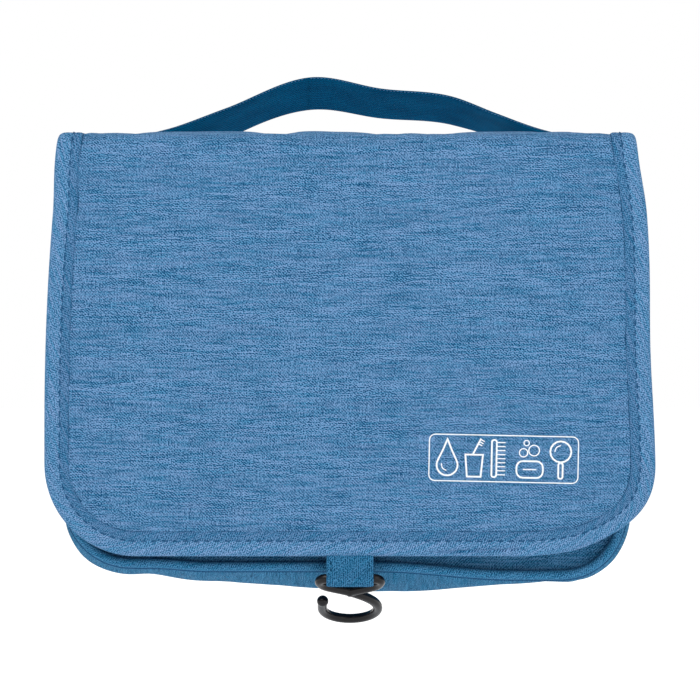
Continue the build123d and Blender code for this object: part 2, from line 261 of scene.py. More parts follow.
def pad_mesh(name, outer, inner, uv, materials, subdivide=False):
    """A closed pad between two grids of points: an outer face, an inner face and the wall between them."""
    rows, columns = outer.shape[:2]
    size = rows * columns
    front_faces = sheet_faces(rows, columns)
    rear_faces = sheet_faces(rows, columns, start=size, flip=True)
    loop = border(rows, columns)
    wall = [(b, a, a + size, b + size) for a, b in zip(loop, loop[1:] + loop[:1])]
    slots = [0] * len(front_faces) + [1] * len(rear_faces) + [0] * len(wall) if len(materials) > 1 else None
    points = np.concatenate([outer.reshape(-1, 3), inner.reshape(-1, 3)])
    uv = np.concatenate([uv.reshape(-1, 2)] * 2)
    return outward(make_mesh(name, points, front_faces + rear_faces + wall, uv, materials, slots, subdivide))


def ring_uv(run, across):
    """Pattern coordinates of rings of points: the run along them and the way across."""
    return np.stack(np.meshgrid(run, across, indexing="ij"), axis=-1)


def bar_mesh(name, grid, uv, material, subdivide=False):
    """A closed bar from rings of points."""
    points, uv = grid.reshape(-1, 3), uv.reshape(-1, 2)
    return outward(make_mesh(name, points, capped(*grid.shape[:2]), uv, [material], subdivide=subdivide))


def tube(points, radius, sides=6):
    """Points and faces of a round thread along a path, with tapered ends."""
    points = np.asarray(points, float)
    tangent = unit(np.gradient(points, axis=0))
    side = unit(np.cross(tangent, [0.31, 0.83, 0.46]))
    up = np.cross(tangent, side)
    angles = np.linspace(0, 2 * HALF_TURN, sides, endpoint=False)[None, :, None]
    scale = np.full((len(points), 1, 1), radius)
    scale[[0, -1]] *= 0.45
    rings = points[:, None] + (side[:, None] * np.cos(angles) + up[:, None] * np.sin(angles)) * scale
    return rings.reshape(-1, 3), capped(len(points), sides)


def join_parts(parts):
    """One list of points and faces from several."""
    verts, faces, offset = [], [], 0
    for points, quads in parts:
        verts.append(points)
        faces += [tuple(i + offset for i in quad) for quad in quads]
        offset += len(points)
    return np.concatenate(verts), faces


def thread_mesh(name, parts, material, plane=(0, 2)):
    """One mesh from several threads."""
    points, faces = join_parts(parts)
    return make_mesh(name, points, faces, points[:, plane], [material])


def stitch_row(place, run, length=2.7, gap=1.6, radius=0.27, sink=0.12):
    """Points and faces of thread stitches along a path given by its place at each run length."""
    parts = []
    dive = 0.3
    pitch = length + gap
    for start in np.arange(run[0] + 1, run[1] - pitch, pitch):
        t = np.linspace(0, 1, 5)
        height = radius * 0.8 - sink - dive * (2 * t - 1) ** 4
        parts.append(tube(place(start + t * length, height), radius))
    return join_parts(parts)


def fit(obj, slot, body, *nodes):
    """Tie a piece to its body and hide the CAD nodes it stands for."""
    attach(obj, body)
    if nodes:
        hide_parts(*nodes)
    return obj


def swell(obj, pins, pressure, cap):
    """Inflate a padded piece by cloth simulation, held at its pins, and cap how far each point goes."""
    count = len(obj.data.vertices)
    start = np.zeros(count * 3, np.float32)
    obj.data.vertices.foreach_get("co", start)
    start = start.reshape(-1, 3)
    group = obj.vertex_groups.new(name="held")
    for index, weight in enumerate(pins):
        if weight > 0:
            group.add([index], float(weight), "REPLACE")
    cloth = obj.modifiers.new("swell", "CLOTH")
    settings = cloth.settings
    settings.vertex_group_mass = "held"
    settings.quality = 6
    settings.mass = 0.15
    settings.tension_stiffness = 20
    settings.compression_stiffness = 20
    settings.bending_stiffness = 1.5
    settings.shrink_min = -0.012
    settings.use_pressure = True
    settings.uniform_pressure_force = pressure
    settings.effector_weights.gravity = 0
    frames = 20
    cloth.point_cache.frame_start = 1
    cloth.point_cache.frame_end = frames
    scene = bpy.context.scene
    for step in range(1, frames + 1):
        scene.frame_set(step)
    shaped = obj.evaluated_get(bpy.context.evaluated_depsgraph_get())
    moved = np.zeros(count * 3, np.float32)
    shaped.data.vertices.foreach_get("co", moved)
    shift = moved.reshape(-1, 3) - start
    obj.modifiers.remove(cloth)
    obj.vertex_groups.clear()
    length = np.linalg.norm(shift, axis=1)
    allowed = cap * MM * np.tanh(length / (cap * MM))
    shift *= (allowed / np.maximum(length, 1e-9))[:, None]
    obj.data.vertices.foreach_set("co", (start + shift).ravel())
    obj.data.update()
    scene.frame_set(1)


# ---------------------------------------------------------------- materials
class Signal:
    """A number that a material's nodes work out, used with Python's arithmetic."""

    def __init__(self, graph, socket):
        self.graph = graph
        self.socket = socket

    def math(self, operation, other=None, swapped=False):
        pair = (other, self) if swapped else (self, other)
        made = self.graph.node("ShaderNodeMath", operation=operation)
        for target, value in zip(made.inputs, pair):
            self.graph.feed(target, value)
        return Signal(self.graph, made.outputs[0])

    def __add__(self, other):
        return self.math("ADD", other)

    def __sub__(self, other):
        return self.math("SUBTRACT", other)

    def __rsub__(self, other):
        return self.math("SUBTRACT", other, swapped=True)

    def __mul__(self, other):
        return self.math("MULTIPLY", other)

    def __truediv__(self, other):
        return self.math("DIVIDE", other)

    def __abs__(self):
        return self.math("ABSOLUTE")

    def floor(self):
        return self.math("FLOOR")

    def fract(self):
        return self.math("FRACT")

    def above(self, limit):
        return self.math("GREATER_THAN", limit)

    def wave(self, half_pitch):
        """A sine wave that crosses zero at every half pitch."""
        return (self * (HALF_TURN / half_pitch)).math("SINE")

    def remap(self, low, high, to_low=0.0, to_high=1.0):
        """A smooth step from one range to another."""
        made = self.graph.node("ShaderNodeMapRange", interpolation_type="SMOOTHSTEP")
        for target, value in zip(made.inputs, (self, low, high, to_low, to_high)):
            self.graph.feed(target, value)
        return Signal(self.graph, made.outputs[0])


class Graph:
    """Builds one material's nodes, with millimetre pattern coordinates."""

    def __init__(self, name):
        self.material = bpy.data.materials.new(name)
        self.material.use_nodes = True
        self.tree = self.material.node_tree
        self.tree.nodes.clear()
        out = self.node("ShaderNodeOutputMaterial")
        self.surface = self.node("ShaderNodeBsdfPrincipled")
        self.tree.links.new(self.surface.outputs[0], out.inputs["Surface"])

    def node(self, kind, **settings):
        made = self.tree.nodes.new(kind)
        for key, value in settings.items():
            setattr(made, key, value)
        return made

    def feed(self, target, value):
        if isinstance(value, Signal):
            self.tree.links.new(value.socket, target)
        elif isinstance(value, bpy.types.NodeSocket):
            self.tree.links.new(value, target)
        elif value is not None:
            target.default_value = value

    def set(self, name, value):
        self.feed(self.surface.inputs[name], value)

    def mix(self, factor, a, b):
        """A blend of two colours."""
        made = self.node("ShaderNodeMix", data_type="RGBA")
        self.feed(made.inputs[0], factor)
        self.feed(made.inputs[6], (*a, 1.0) if isinstance(a, tuple) else a)
        self.feed(made.inputs[7], (*b, 1.0) if isinstance(b, tuple) else b)
        return made.outputs[2]

    def noise(self, place, detail, scale=1.0):
        made = self.node("ShaderNodeTexNoise")
        self.feed(made.inputs["Vector"], place)
        made.inputs["Scale"].default_value = scale
        made.inputs["Detail"].default_value = detail
        return Signal(self, made.outputs[0])

    def spots(self, x, y, seed=0.0, detail=1.0, scale=1.0):
        """Noise over the cloth pattern."""
        made = self.node("ShaderNodeCombineXYZ")
        for socket, value in zip(made.inputs, (x, y, seed)):
            self.feed(socket, value)
        return self.noise(made.outputs[0], detail, scale)

    def object_place(self):
        return self.node("ShaderNodeTexCoord").outputs["Object"]

    def pattern(self, turn=0.0):
        """X and Y of the cloth pattern in millimetres, turned by an angle in degrees."""
        scaled = self.node("ShaderNodeVectorMath", operation="SCALE")
        self.feed(scaled.inputs[0], self.node("ShaderNodeUVMap", uv_map="cloth").outputs[0])
        scaled.inputs["Scale"].default_value = 1 / MM
        spun = self.node("ShaderNodeVectorRotate", rotation_type="Z_AXIS")
        self.feed(spun.inputs["Vector"], scaled.outputs[0])
        spun.inputs["Angle"].default_value = math.radians(turn)
        split = self.node("ShaderNodeSeparateXYZ")
        self.feed(split.inputs[0], spun.outputs[0])
        return Signal(self, split.outputs[0]), Signal(self, split.outputs[1])

    def bump(self, height, distance, strength, under=None):
        """A normal for relief of a height in millimetres."""
        made = self.node("ShaderNodeBump")
        made.inputs["Strength"].default_value = strength
        made.inputs["Distance"].default_value = distance * MM
        self.feed(made.inputs["Height"], height)
        self.feed(made.inputs["Normal"], under)
        return made.outputs[0]


def rgb(*screen):
    """A colour given as it looks on screen, from 0 to 255, turned into linear light."""
    return tuple(((c / 255 + 0.055) / 1.055) ** 2.4 if c > 10 else c / 255 / 12.92 for c in screen)


YARN = 0.42


def twill(x, y):
    """Height of a three-yarn twill, and 1 where the warp is on top or 0 where the weft is."""
    across = (x / YARN).floor()
    along = (y / YARN).floor()
    always_positive = 3000.0
    step = ((across - along + always_positive) / 3.0).fract()
    warp_up = step.above(0.5)
    height = abs(x.wave(YARN)) * warp_up + abs(y.wave(YARN)) * (1.0 - warp_up)
    return height, warp_up


def heather(name, dark, light, turn=0.0, streaks=1.0, relief=0.14):
    """Heathered twill: tone streaks along the yarns both ways, flecks, yarn relief and a soft sheen."""
    g = Graph(name)
    x, y = g.pattern(turn)
    height, warp_up = twill(x, y)
    weft_length, warp_length, weft_apart, warp_apart = 12.0, 7.0, 3.7, 2.9
    each_weft = g.spots(x / weft_length, (y / YARN).floor() * weft_apart)
    each_warp = g.spots((x / YARN).floor() * warp_apart, y / warp_length, 9.0)
    slub = g.spots(x / 14.0, y / 0.75, 4.0)
    band = g.spots(x / 34.0, y / 2.6, 6.0, detail=2.0)
    speck = g.spots(x / 0.6, y / 0.42, 1.0, detail=0.0)
    streaky = (each_weft - 0.5) * 1.3 + (each_warp - 0.5) * 0.8 + (band - 0.5) * 0.55
    streaky = streaky - (slub - 0.5) * 0.35 - slub.remap(0.6, 0.74) * 0.15
    tone = streaky * streaks + (speck - 0.5) * 3.0 + (height - 0.6) * 0.45 + (warp_up - 0.33) * 0.7 + 0.53
    shade = g.node("ShaderNodeClamp")
    g.feed(shade.inputs[0], tone)
    cool = tuple(c * k for c, k in zip(light, (0.6, 0.99, 1.0)))
    warm = tuple(c * k for c, k in zip(light, (1.3, 1.05, 1.05)))
    pale = g.mix((each_weft + speck * 0.5).remap(0.55, 0.95), cool, warm)
    g.set("Base Color", g.mix(shade.outputs[0], dark, pale))
    g.set("Roughness", band.remap(0.3, 0.7, 0.78, 0.92))
    g.set("Sheen Weight", 0.04)
    g.set("Sheen Roughness", 0.5)
    g.set("Sheen Tint", (*light, 1.0))
    g.set("Specular IOR Level", 0.06)
    g.set("Normal", g.bump(height + slub * 0.8, relief, 0.7))
    return g.material


def webbing(name, dark, light, rib=1.1):
    """Ribbed woven webbing with close diagonal yarns."""
    g = Graph(name)
    x, y = g.pattern()
    rows = abs(y.wave(rib))
    diagonal = (x + y * 0.8).wave(rib / 2)
    cloudy = g.spots(x / 15.0, y / 6.0, detail=3.0)
    fine = g.spots(x, y, detail=2.0, scale=1.3)
    tone = rows * 0.3 + diagonal * 0.12 + cloudy * 0.5 + fine * 0.2
    g.set("Base Color", g.mix(tone.remap(0.2, 0.9), dark, light))
    g.set("Roughness", fine.remap(0.3, 0.7, 0.7, 0.88))
    g.set("Specular IOR Level", 0.04)
    g.set("Normal", g.bump(rows + diagonal * 0.5, 0.18, 0.7))
    return g.material


def fine_cloth(name, dark, light):
    """Thin plain-weave lining with a faint sheen and creases."""
    g = Graph(name)
    x, y = g.pattern()
    grid = x.wave(0.3) * y.wave(0.3)
    cloudy = g.spots(x / 26.0, y / 11.0, detail=3.0)
    g.set("Base Color", g.mix(cloudy.remap(0.3, 0.7, 0.3, 0.7) + grid * 0.2, dark, light))
    g.set("Roughness", cloudy.remap(0.3, 0.7, 0.5, 0.68))
    g.set("Specular IOR Level", 0.2)
    g.set("Normal", g.bump(grid, 0.08, 0.5, under=g.bump(cloudy, 3.0, 0.6)))
    return g.material


def knitted_mesh(name, dark, light):
    """Knitted pocket mesh: rows of small openings, painted near black as shade, between pale threads."""
    g = Graph(name)
    x, y = g.pattern()
    pitch = 2.2
    row = (y / pitch).floor()
    shifted = x + (row / 2.0).fract() * pitch
    hole = abs(shifted.wave(pitch) * y.wave(pitch)).remap(0.3, 0.62)
    cloudy = g.spots(x / 8.0, y / 8.0, detail=2.0)
    thread = g.mix(cloudy * 0.5 + 0.25, dark, light)
    # Painted shade: the openings are near black for the shade seen through the mesh.
    g.set("Base Color", g.mix(hole, thread, (0.004, 0.006, 0.01)))
    g.set("Roughness", hole.remap(0.0, 1.0, 0.6, 0.9))
    g.set("Normal", g.bump(1.0 - hole, 0.4, 0.8))
    return g.material


def moulded(name, colour, worn, rough, metal=0.0):
    """Moulded or lacquered part with a fine grain and slightly polished high spots."""
    g = Graph(name)
    place = g.object_place()
    fine = g.noise(place, 3.0, scale=2600.0)
    broad = g.noise(place, 2.0, scale=180.0)
    polish = Signal(g, g.node("ShaderNodeNewGeometry").outputs["Pointiness"]).remap(0.5, 0.6)
    g.set("Base Color", g.mix((polish + broad) * 0.5, colour, worn))
    g.set("Roughness", (fine - 0.5) * 0.18 + rough + polish * -0.05)
    g.set("Metallic", metal)
    g.set("Specular IOR Level", 0.5 if metal else 0.3)
    g.set("Normal", g.bump(fine, 0.05, 0.5))
    return g.material


def ink(name):
    """Matt screen-print ink that takes up the weave below it."""
    g = Graph(name)
    x, y = g.pattern()
    height, _ = twill(x, y)
    patchy = g.spots(x, y, detail=3.0, scale=1.4)
    g.set("Base Color", g.mix(patchy.remap(0.3, 0.6), (0.72, 0.8, 0.88), (0.9, 0.94, 0.97)))
    g.set("Roughness", patchy.remap(0.3, 0.7, 0.55, 0.75))
    g.set("Normal", g.bump(height, 0.1, 0.5))
    return g.material


def paper(name):
    """Evenly lit pale floor."""
    g = Graph(name)
    g.set("Base Color", g.mix(g.noise(g.object_place(), 2.0, 3.0), (0.43, 0.43, 0.43), (0.45, 0.45, 0.45)))
    g.set("Roughness", 0.9)
    g.set("Emission Color", (1.0, 1.0, 1.0, 1.0))
    g.set("Emission Strength", 0.8)
    return g.material


ON_BIAS = dict(turn=-25.0, streaks=0.55, relief=0.2)
shell_cloth = heather("shell_heather", rgb(0, 60, 102), rgb(108, 158, 202))
# Painted shade: the side and bottom wall is the shell's cloth, given darker colours for the shade it sits in.
shaded_gusset_cloth = heather("shaded_gusset_heather", rgb(0, 52, 90), rgb(70, 142, 184), turn=90.0)
# Painted shade: the front panel is the shell's cloth, given darker colours for the shade in its recess.
shaded_recess_cloth = heather("shaded_recess_heather", rgb(0, 60, 100), rgb(86, 150, 194))
bias_cloth = heather("bias_heather", rgb(6, 76, 120), rgb(120, 168, 212), **ON_BIAS)
# Painted shade: a darker copy of the bias tape for its inner band beside the ditch.
shaded_bias_cloth = heather("shaded_bias_heather", rgb(2, 66, 108), rgb(98, 148, 192), **ON_BIAS)
# Painted shadow: a dark copy of the cloth for the shaded ditches along tapes and seams.
ditch_shadow_cloth = heather("ditch_shadow_heather", rgb(0, 50, 88), rgb(44, 96, 138), turn=45.0, streaks=0.4)
trim_cloth = heather("trim_heather", rgb(0, 58, 96), rgb(76, 146, 190), turn=-25.0, streaks=0.6)
loop_cloth = heather("loop_heather", rgb(0, 52, 88), rgb(66, 132, 174), turn=45.0, streaks=0.6)
lining_cloth = fine_cloth("lining_plain", rgb(34, 46, 60), rgb(74, 92, 112))
strap_cloth = webbing("strap_webbing", rgb(0, 64, 100), rgb(0, 104, 146))
tape_cloth = webbing("zip_tape_weave", rgb(18, 52, 80), rgb(40, 84, 118), rib=0.9)
elastic_cloth = webbing("elastic_weave", rgb(24, 26, 30), rgb(52, 56, 62), rib=1.6)
mesh_cloth = knitted_mesh("pocket_mesh", rgb(70, 96, 122), rgb(112, 140, 166))
# Stitch thread darker than the tapes: partly the thread's own colour and partly painted shade of the needle dents.
thread_with_dent_shade = webbing("stitch_thread_dent_shade", rgb(14, 70, 112), rgb(56, 106, 150), rib=0.5)
loop_thread = webbing("loop_thread", rgb(0, 44, 74), rgb(14, 80, 116), rib=0.5)
# Pale thread for the strap's box stitching and its edge row; along the edge its paleness is partly a painted
# highlight.
pale_thread_and_edge_glint = webbing("selvedge_thread_and_glint", rgb(44, 98, 142), rgb(96, 142, 184), rib=0.5)
hook_plastic = moulded("hook_black", rgb(7, 5, 7), rgb(24, 20, 23), 0.22)
coil_plastic = moulded("coil_nylon", rgb(16, 46, 70), rgb(44, 84, 112), 0.42)
zip_metal = moulded("zip_lacquer", rgb(38, 42, 48), rgb(110, 116, 124), 0.3, metal=0.8)
print_ink = ink("print_white")


# ---------------------------------------------------------------- folded patterns
class Strip:
    """A flat pattern that starts at the seam across the bridge and folds down at one crease."""

    def __init__(self, toward, axis_depth, shape=None):
        self.toward = toward
        self.level = abs(axis_depth - SEAM_DEPTH) - FOLD_RADIUS
        self.shape = shape

    def flat(self, height):
        """Pattern length at which the hanging part reaches a height."""
        return self.level + FOLD_LENGTH + crease_height - FOLD_RADIUS - height

    def place(self, x, s, v):
        """Places of pattern points: X, length from the seam and height off the cloth's middle."""
        x, s, v = np.broadcast_arrays(np.asarray(x, float), np.asarray(s, float), np.asarray(v, float))
        if self.shape is not None:
            x, s, v = self.shape(x, s, v)
        turn = np.clip((s - self.level) / FOLD_RADIUS, 0, QUARTER)
        drop = np.maximum(s - self.level - FOLD_LENGTH, 0)
        level = np.minimum(s, self.level)
        depth = SEAM_DEPTH + self.toward * (level + (FOLD_RADIUS + v) * np.sin(turn))
        height = crease_height - FOLD_RADIUS + (FOLD_RADIUS + v) * np.cos(turn) - drop
        return np.stack([x, -depth, height], axis=-1)


def flap_half_width(s):
    """Half width of the flap's pattern: straight over the bridge, then gently bowed."""
    widest_share, bow = 0.72, 2.2
    down = np.clip((s - front.level) / (front.flat(flap_low[2]) - front.level), 0, 1)
    reach = flap_high[0] - bridge_half
    return bridge_half + reach * (1 - (1 - np.clip(down / widest_share, 0, 1)) ** bow)


def flap_shape(x, s, v):
    """The flap's lower right corner curls up and forward, and the whole sheet is slightly uneven."""
    low = front.flat(flap_low[2])
    corner = step(x, 45, 75) * step(s, low - 80, 80)
    lift = step(x, 70, 40) * step(s, low - 30, 30)
    hang = step(s, front.level + 20, 60)
    uneven = ripple(x / 45, s / 40, 5) * 0.5 * hang
    down = s - front.flat(flap_high[2])
    at_top = step(down, -26, 18) * (1 - step(down, 5, 25))
    waist = np.exp(-((down - 85) / 32) ** 2) * step(x, 0, 100)
    top_shift, waist_pull, corner_lift, corner_curl = 1.3, 1.7, 4.0, 5.0
    x = x - top_shift * at_top - waist_pull * waist
    return x, s - corner_lift * lift, v + corner_curl * corner + uneven


front = Strip(1, front_depth, flap_shape)
rear = Strip(-1, rear_depth)


def back_half_width(s):
    """Half width of the back's pattern: the bridge's width, easing in to the back panel's."""
    return bridge_half + (back_high[0] - bridge_half) * step(s, rear.level, 12)


def quarter_arc(x, low, radius, count, down=1):
    """Points round a corner from its side to its bottom edge, where down is the way that lengths grow."""
    angles = np.linspace(0, QUARTER, count)
    across = x - radius + radius * np.cos(angles)
    return np.stack([across, low + down * radius * (np.sin(angles) - 1)], axis=1)


def cloth_outline(strip, half_width, widest, corner, bottom):
    """The pattern's edge from the right end of the bridge seam round the bottom to the left end."""
    low = strip.flat(bottom)
    side_s = np.linspace(-SEAM_LAP, low - corner, 150)
    side = np.stack([half_width(side_s), side_s], axis=1)
    right = np.concatenate([side, quarter_arc(widest, low, corner, 50)[1:]])
    return resample(np.concatenate([right, right[::-1] * [-1, 1]]), 2.5)


def inset_half_width(outline, inset):
    """Half width of the pattern at a given length, drawn in from the outline."""
    points = outline + inward(outline) * inset
    half = points[:len(points) // 2]
    order = np.argsort(half[:, 1])
    return lambda s: np.interp(s, half[order, 1], half[order, 0])


def padded_panel(name, strip, outline, cap, pressure):
    """A padded double-layer panel cut to the outline, swollen between its seams."""
    inset, rounded_end, columns, crowding = 1.4, 46, 61, 1.25
    half = inset_half_width(outline, inset)
    low = outline[:, 1].max() - inset
    straight = np.arange(-SEAM_LAP, low - rounded_end, 4.0)
    curved = low - rounded_end + rounded_end * np.sin(np.linspace(0, QUARTER, 18))
    lengths = np.concatenate([straight, curved])
    lengths[-1] = low
    spread = np.sin(np.linspace(-1, 1, columns) * crowding) / math.sin(crowding)
    s = np.repeat(lengths[:, None], columns, axis=1)
    x = half(lengths)[:, None] * spread[None, :]
    gap = edge_distance(x, s, outline)
    seam = step(np.abs(s), 0, 5)
    pad = HALF_SHEET * (0.72 + 0.28 * step(gap, 7, 6)) * (0.35 + 0.65 * seam)
    pucker = np.sin(x * 0.7 + s * 0.66) * np.exp(-np.maximum(gap - TAPE_WIDTH, 0) / 5.0) * 0.1
    wave = ripple(x / 21, s / 17, 3) * 0.35 * step(gap, TAPE_WIDTH, 18) * seam
    outer = strip.place(x, s, pad + pucker + wave)
    inner = strip.place(x, s, -pad)
    obj = pad_mesh(name, outer, inner, np.stack([x, s], axis=-1), [shell_cloth, lining_cloth])
    fold = strip.level + FOLD_LENGTH / 2
    held = (1 - step(gap, TAPE_WIDTH - 2, 5)) + (1 - step(s, 2, 5))
    held = held + 0.5 * (1 - step(np.abs(s - fold), 5, 6))
    pins = np.concatenate([np.clip(held, 0, 1).ravel(), np.ones(x.size)])
    swell(obj, pins, pressure, cap)
    round_off(obj)
    return obj


def edge_tape(name, strip, outline):
    """Bias tape folded over the edge of a padded panel: a ditch in painted shadow, an inner band in painted shade
    and the bright fold.
    """
    into = inward(outline)
    run = arc_lengths(outline)
    width, face = TAPE_WIDTH, HALF_SHEET
    section = np.array([
        (width + 0.9, face - 0.3), (width + 0.15, face - 0.15), (width, face + 0.42),
        (width - 0.9, face + 0.62),
        (STITCH_INSET + 1.0, face + 0.6), (STITCH_INSET, face + 0.3), (STITCH_INSET - 1.0, face + 0.58),
        (3.4, face + 0.62), (1.5, face + 0.35), (0.4, face - 0.5), (0.0, 0.0), (0.4, 0.5 - face),
        (1.5, -face - 0.3), (3.4, -face - 0.5), (width - 1.2, -face - 0.5), (width, -face - 0.1),
        (width - 0.8, 0.2 - face), (width - 0.8, face - 0.5),
    ])
    wobble = ripple(run / 8, run * 0, 11) * 0.12
    grid = []
    for depth_in, height in section:
        edge = outline + into * (depth_in + wobble * (depth_in > 8))[:, None]
        pucker = 0.12 * np.sin(run * 2 * HALF_TURN / 4.3 + depth_in * 0.5) * (1 < depth_in < 9.5)
        grid.append(strip.place(edge[:, 0], edge[:, 1], height + np.sign(height) * pucker))
    points = np.stack(grid, axis=1).reshape(-1, 3)
    uv = ring_uv(run, arc_lengths(section)).reshape(-1, 2)
    faces = sheet_faces(len(outline), len(section), wrap=True)
    # Painted shadow on the ditch face next to the pad, and painted shade on the inner band up to the stitch row.
    slots = ([1] + [2] * 4 + [0] * (len(section) - 5)) * (len(outline) - 1)
    materials = [bias_cloth, ditch_shadow_cloth, shaded_bias_cloth]
    return outward(make_mesh(name, points, faces, uv, materials, slots, subdivide=True))


def outline_stitches(name, strip, outline, surface):
    """A row of stitches along the tape of an outline."""
    path = outline + inward(outline) * STITCH_INSET
    run = arc_lengths(path)

    def place(t, height):
        x, s = at(t, run, path).T
        return strip.place(x, s, surface + height)

    return thread_mesh(name, [stitch_row(place, (0, run[-1]))], thread_with_dent_shade)


def across_front_fold(obj):
    """Bake a piece's placement into its mesh. The start and end of a bend between the bridge and the front of the
    flap are worked out but not used.
    """
    start = (0, -(front_depth - FOLD_REACH) * MM, crease_height * MM)
    end = (0, -front_depth * MM, (crease_height - FOLD_REACH) * MM)
    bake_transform(obj)


def across_rear_fold(obj):
    """Bake a piece's placement into its mesh. The start and end of a bend between the back panel and the bridge
    are worked out but not used.
    """
    start = (0, -rear_depth * MM, (crease_height - FOLD_REACH) * MM)
    end = (0, -(rear_depth + FOLD_REACH) * MM, crease_height * MM)
    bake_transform(obj)


def build_flap():
    """Front half of the bridge and the hanging flap: pad, bias tape and stitches."""
    outline = cloth_outline(front, flap_half_width, flap_high[0], 38.0, flap_low[2])
    pad = padded_panel("flap_pad", front, outline, 1.6, 3.0)
    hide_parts("flap_shell", "flap_foam", "flap_lining", "flap_front_crease")
    tape = edge_tape("flap_edge_tape", front, outline)
    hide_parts("flap_binding", "bridge_binding")
    rows = [outline_stitches("flap_tape_stitches", front, outline, TAPE_FACE),
            outline_stitches("flap_inner_stitches", front, outline, -TAPE_FACE - 0.1)]
    for obj in [pad, tape] + rows:
        across_front_fold(obj)
    return pad


def build_flap_seam():
    """The seam across the bridge: topstitching outside and a bound seam tape inside."""
    half = bridge_half - TAPE_WIDTH - 1
    under = crease_height - HALF_SHEET
    above = crease_height + HALF_SHEET * 0.88
    tape_half = 4.5
    low = np.array([-half, -SEAM_DEPTH - tape_half, under - 0.9])
    high = np.array([half, -SEAM_DEPTH + tape_half, under + 0.3])
    soft_plate("flap_seam_tape", (low, high), "flap_bridge", trim_cloth, "binding", bulge=0.2)

    def straight_row(y, base, sign):
        def place(t, height):
            return np.stack([t, np.full(len(t), y), base + sign * height], axis=-1)
        return stitch_row(place, (-half, half))

    sewn = []
    for side in (-1, 1):
        sewn.append(straight_row(-SEAM_DEPTH + side * 3.0, above, 1))
        sewn.append(straight_row(-SEAM_DEPTH + side * 3.4, under - 0.85, -1))
    fit(thread_mesh("flap_seam_stitches", sewn, thread_with_dent_shade, plane=(0, 1)), "binding", "flap_bridge")


def build_back():
    """Rear half of the bridge and the padded back panel."""
    outline = cloth_outline(rear, back_half_width, back_high[0], 30.0, back_low[2])
    pad = padded_panel("back_pad", rear, outline, 1.2, 2.0)
    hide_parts("back_panel_shell", "back_panel_foam", "back_panel_lining", "flap_rear_crease",
                "bridge_shell", "bridge_foam", "bridge_lining")
    limit = rear.flat(crease_height - 8)
    right_edge = outline[(outline[:, 1] < limit) & (outline[:, 0] > 0)]
    for name, edge in (("right", right_edge), ("left", (right_edge * [-1, 1])[::-1])):
        for obj in (edge_tape("bridge_tape_" + name, rear, edge),
                    outline_stitches("bridge_stitches_" + name, rear, edge, TAPE_FACE)):
            across_rear_fold(obj)
    across_rear_fold(pad)


# ---------------------------------------------------------------- body
def wall_outline(half_width, top, bottom, corner, tuck, lean=0.0):
    """A body section in X and Z from the top left round the bottom to the top right, evenly spaced."""
    right = np.concatenate([[[half_width, top]], quarter_arc(half_width, bottom, corner, 40, down=-1)])
    fine = resample(np.concatenate([right, (right * [-1, 1])[::-1]]), 0.5)
    left_rise = 1.4
    low = step(-fine[:, 1], 30, 50)
    fine[:, 1] += low * (left_rise * step(-fine[:, 0], 58, 24) - lean * step(fine[:, 0], 10, 60))
    fine[:, 0] -= tuck * step(-fine[:, 1], 20, 50) * step(fine[:, 0], 0, half_width)
    length = arc_lengths(fine)
    return at(np.linspace(0, length[-1], 150), length, fine)[::-1]


rear_section = wall_outline(back_high[0], gusset_high[2], back_low[2] + 1.0, 30.0, 3.0)
front_section = wall_outline(rim_high[0] + 1.4, gusset_high[2] - 0.5, rim_low[2], 26.0, 3.5, lean=3.5)


def wall_point(run_share, depth_share, v):
    """Places on the gusset wall: share of the way round, share of the way forward and height off it."""
    count = len(rear_section) - 1
    keys = np.arange(count + 1)
    blend = smooth(depth_share) * 0.5 + depth_share * 0.5
    behind, ahead = (at(run_share * count, keys, section) for section in (rear_section, front_section))
    x, z = np.moveaxis(behind * (1 - blend[..., None]) + ahead * blend[..., None], -1, 0)
    normal_x, normal_z = np.moveaxis(at(run_share * count, keys, -inward(rear_section)), -1, 0)
    belly = np.sin(np.clip(depth_share, 0, 1) * HALF_TURN) ** 0.8
    under = step(-z, 40, 45)
    corner = 2 * np.abs(normal_x * normal_z)
    hanging = under * np.exp(-((x - 8) / 58) ** 2)
    side_bulge, flatter_below, corner_bulge, sag = 1.8, 2.6, 4.8, 7.7
    bulge = belly * (side_bulge - flatter_below * under + corner_bulge * corner + sag * hanging) + v
    depth = back_depth + (wall_front - back_depth) * depth_share
    return np.stack([x + normal_x * bulge, -depth, z + normal_z * bulge], axis=-1)


def build_gusset():
    """Side and bottom wall, swollen between its two seams."""
    around, across = 141, 21
    t, d = np.meshgrid(np.linspace(0, 1, around), np.linspace(0, 1, across), indexing="ij")
    length = arc_lengths(rear_section)[-1]
    edge = np.minimum(d, 1 - d) * (wall_front - back_depth)
    ends = np.minimum(t, 1 - t) * length
    soft = ripple(t * length / 16, d * 5, 7) * 0.7 * step(edge, 0, 10) * step(ends, 0, 12)
    drape = np.sin(t * length * 2 * HALF_TURN / 23 + 3 * d) * 0.25 * np.exp(-edge / 8)
    uv = np.stack([t * length, d * (wall_front - back_depth)], axis=-1)
    outer, inner = wall_point(t, d, soft + drape), wall_point(t, d, soft * 0.6 - 1.4)
    # The wall's outer face is the shell's cloth with painted shade.
    obj = pad_mesh("gusset_wall", outer, inner, uv, [shaded_gusset_cloth, lining_cloth])
    pins = np.concatenate([1 - (step(edge, 1, 6) * step(ends, 0, 8)).ravel(), np.ones(t.size)])
    swell(obj, pins, 3.0, 2.2)
    round_off(obj)
    fit(obj, "shell_fabric", "bag_body", "gusset_shell", "gusset_lining")


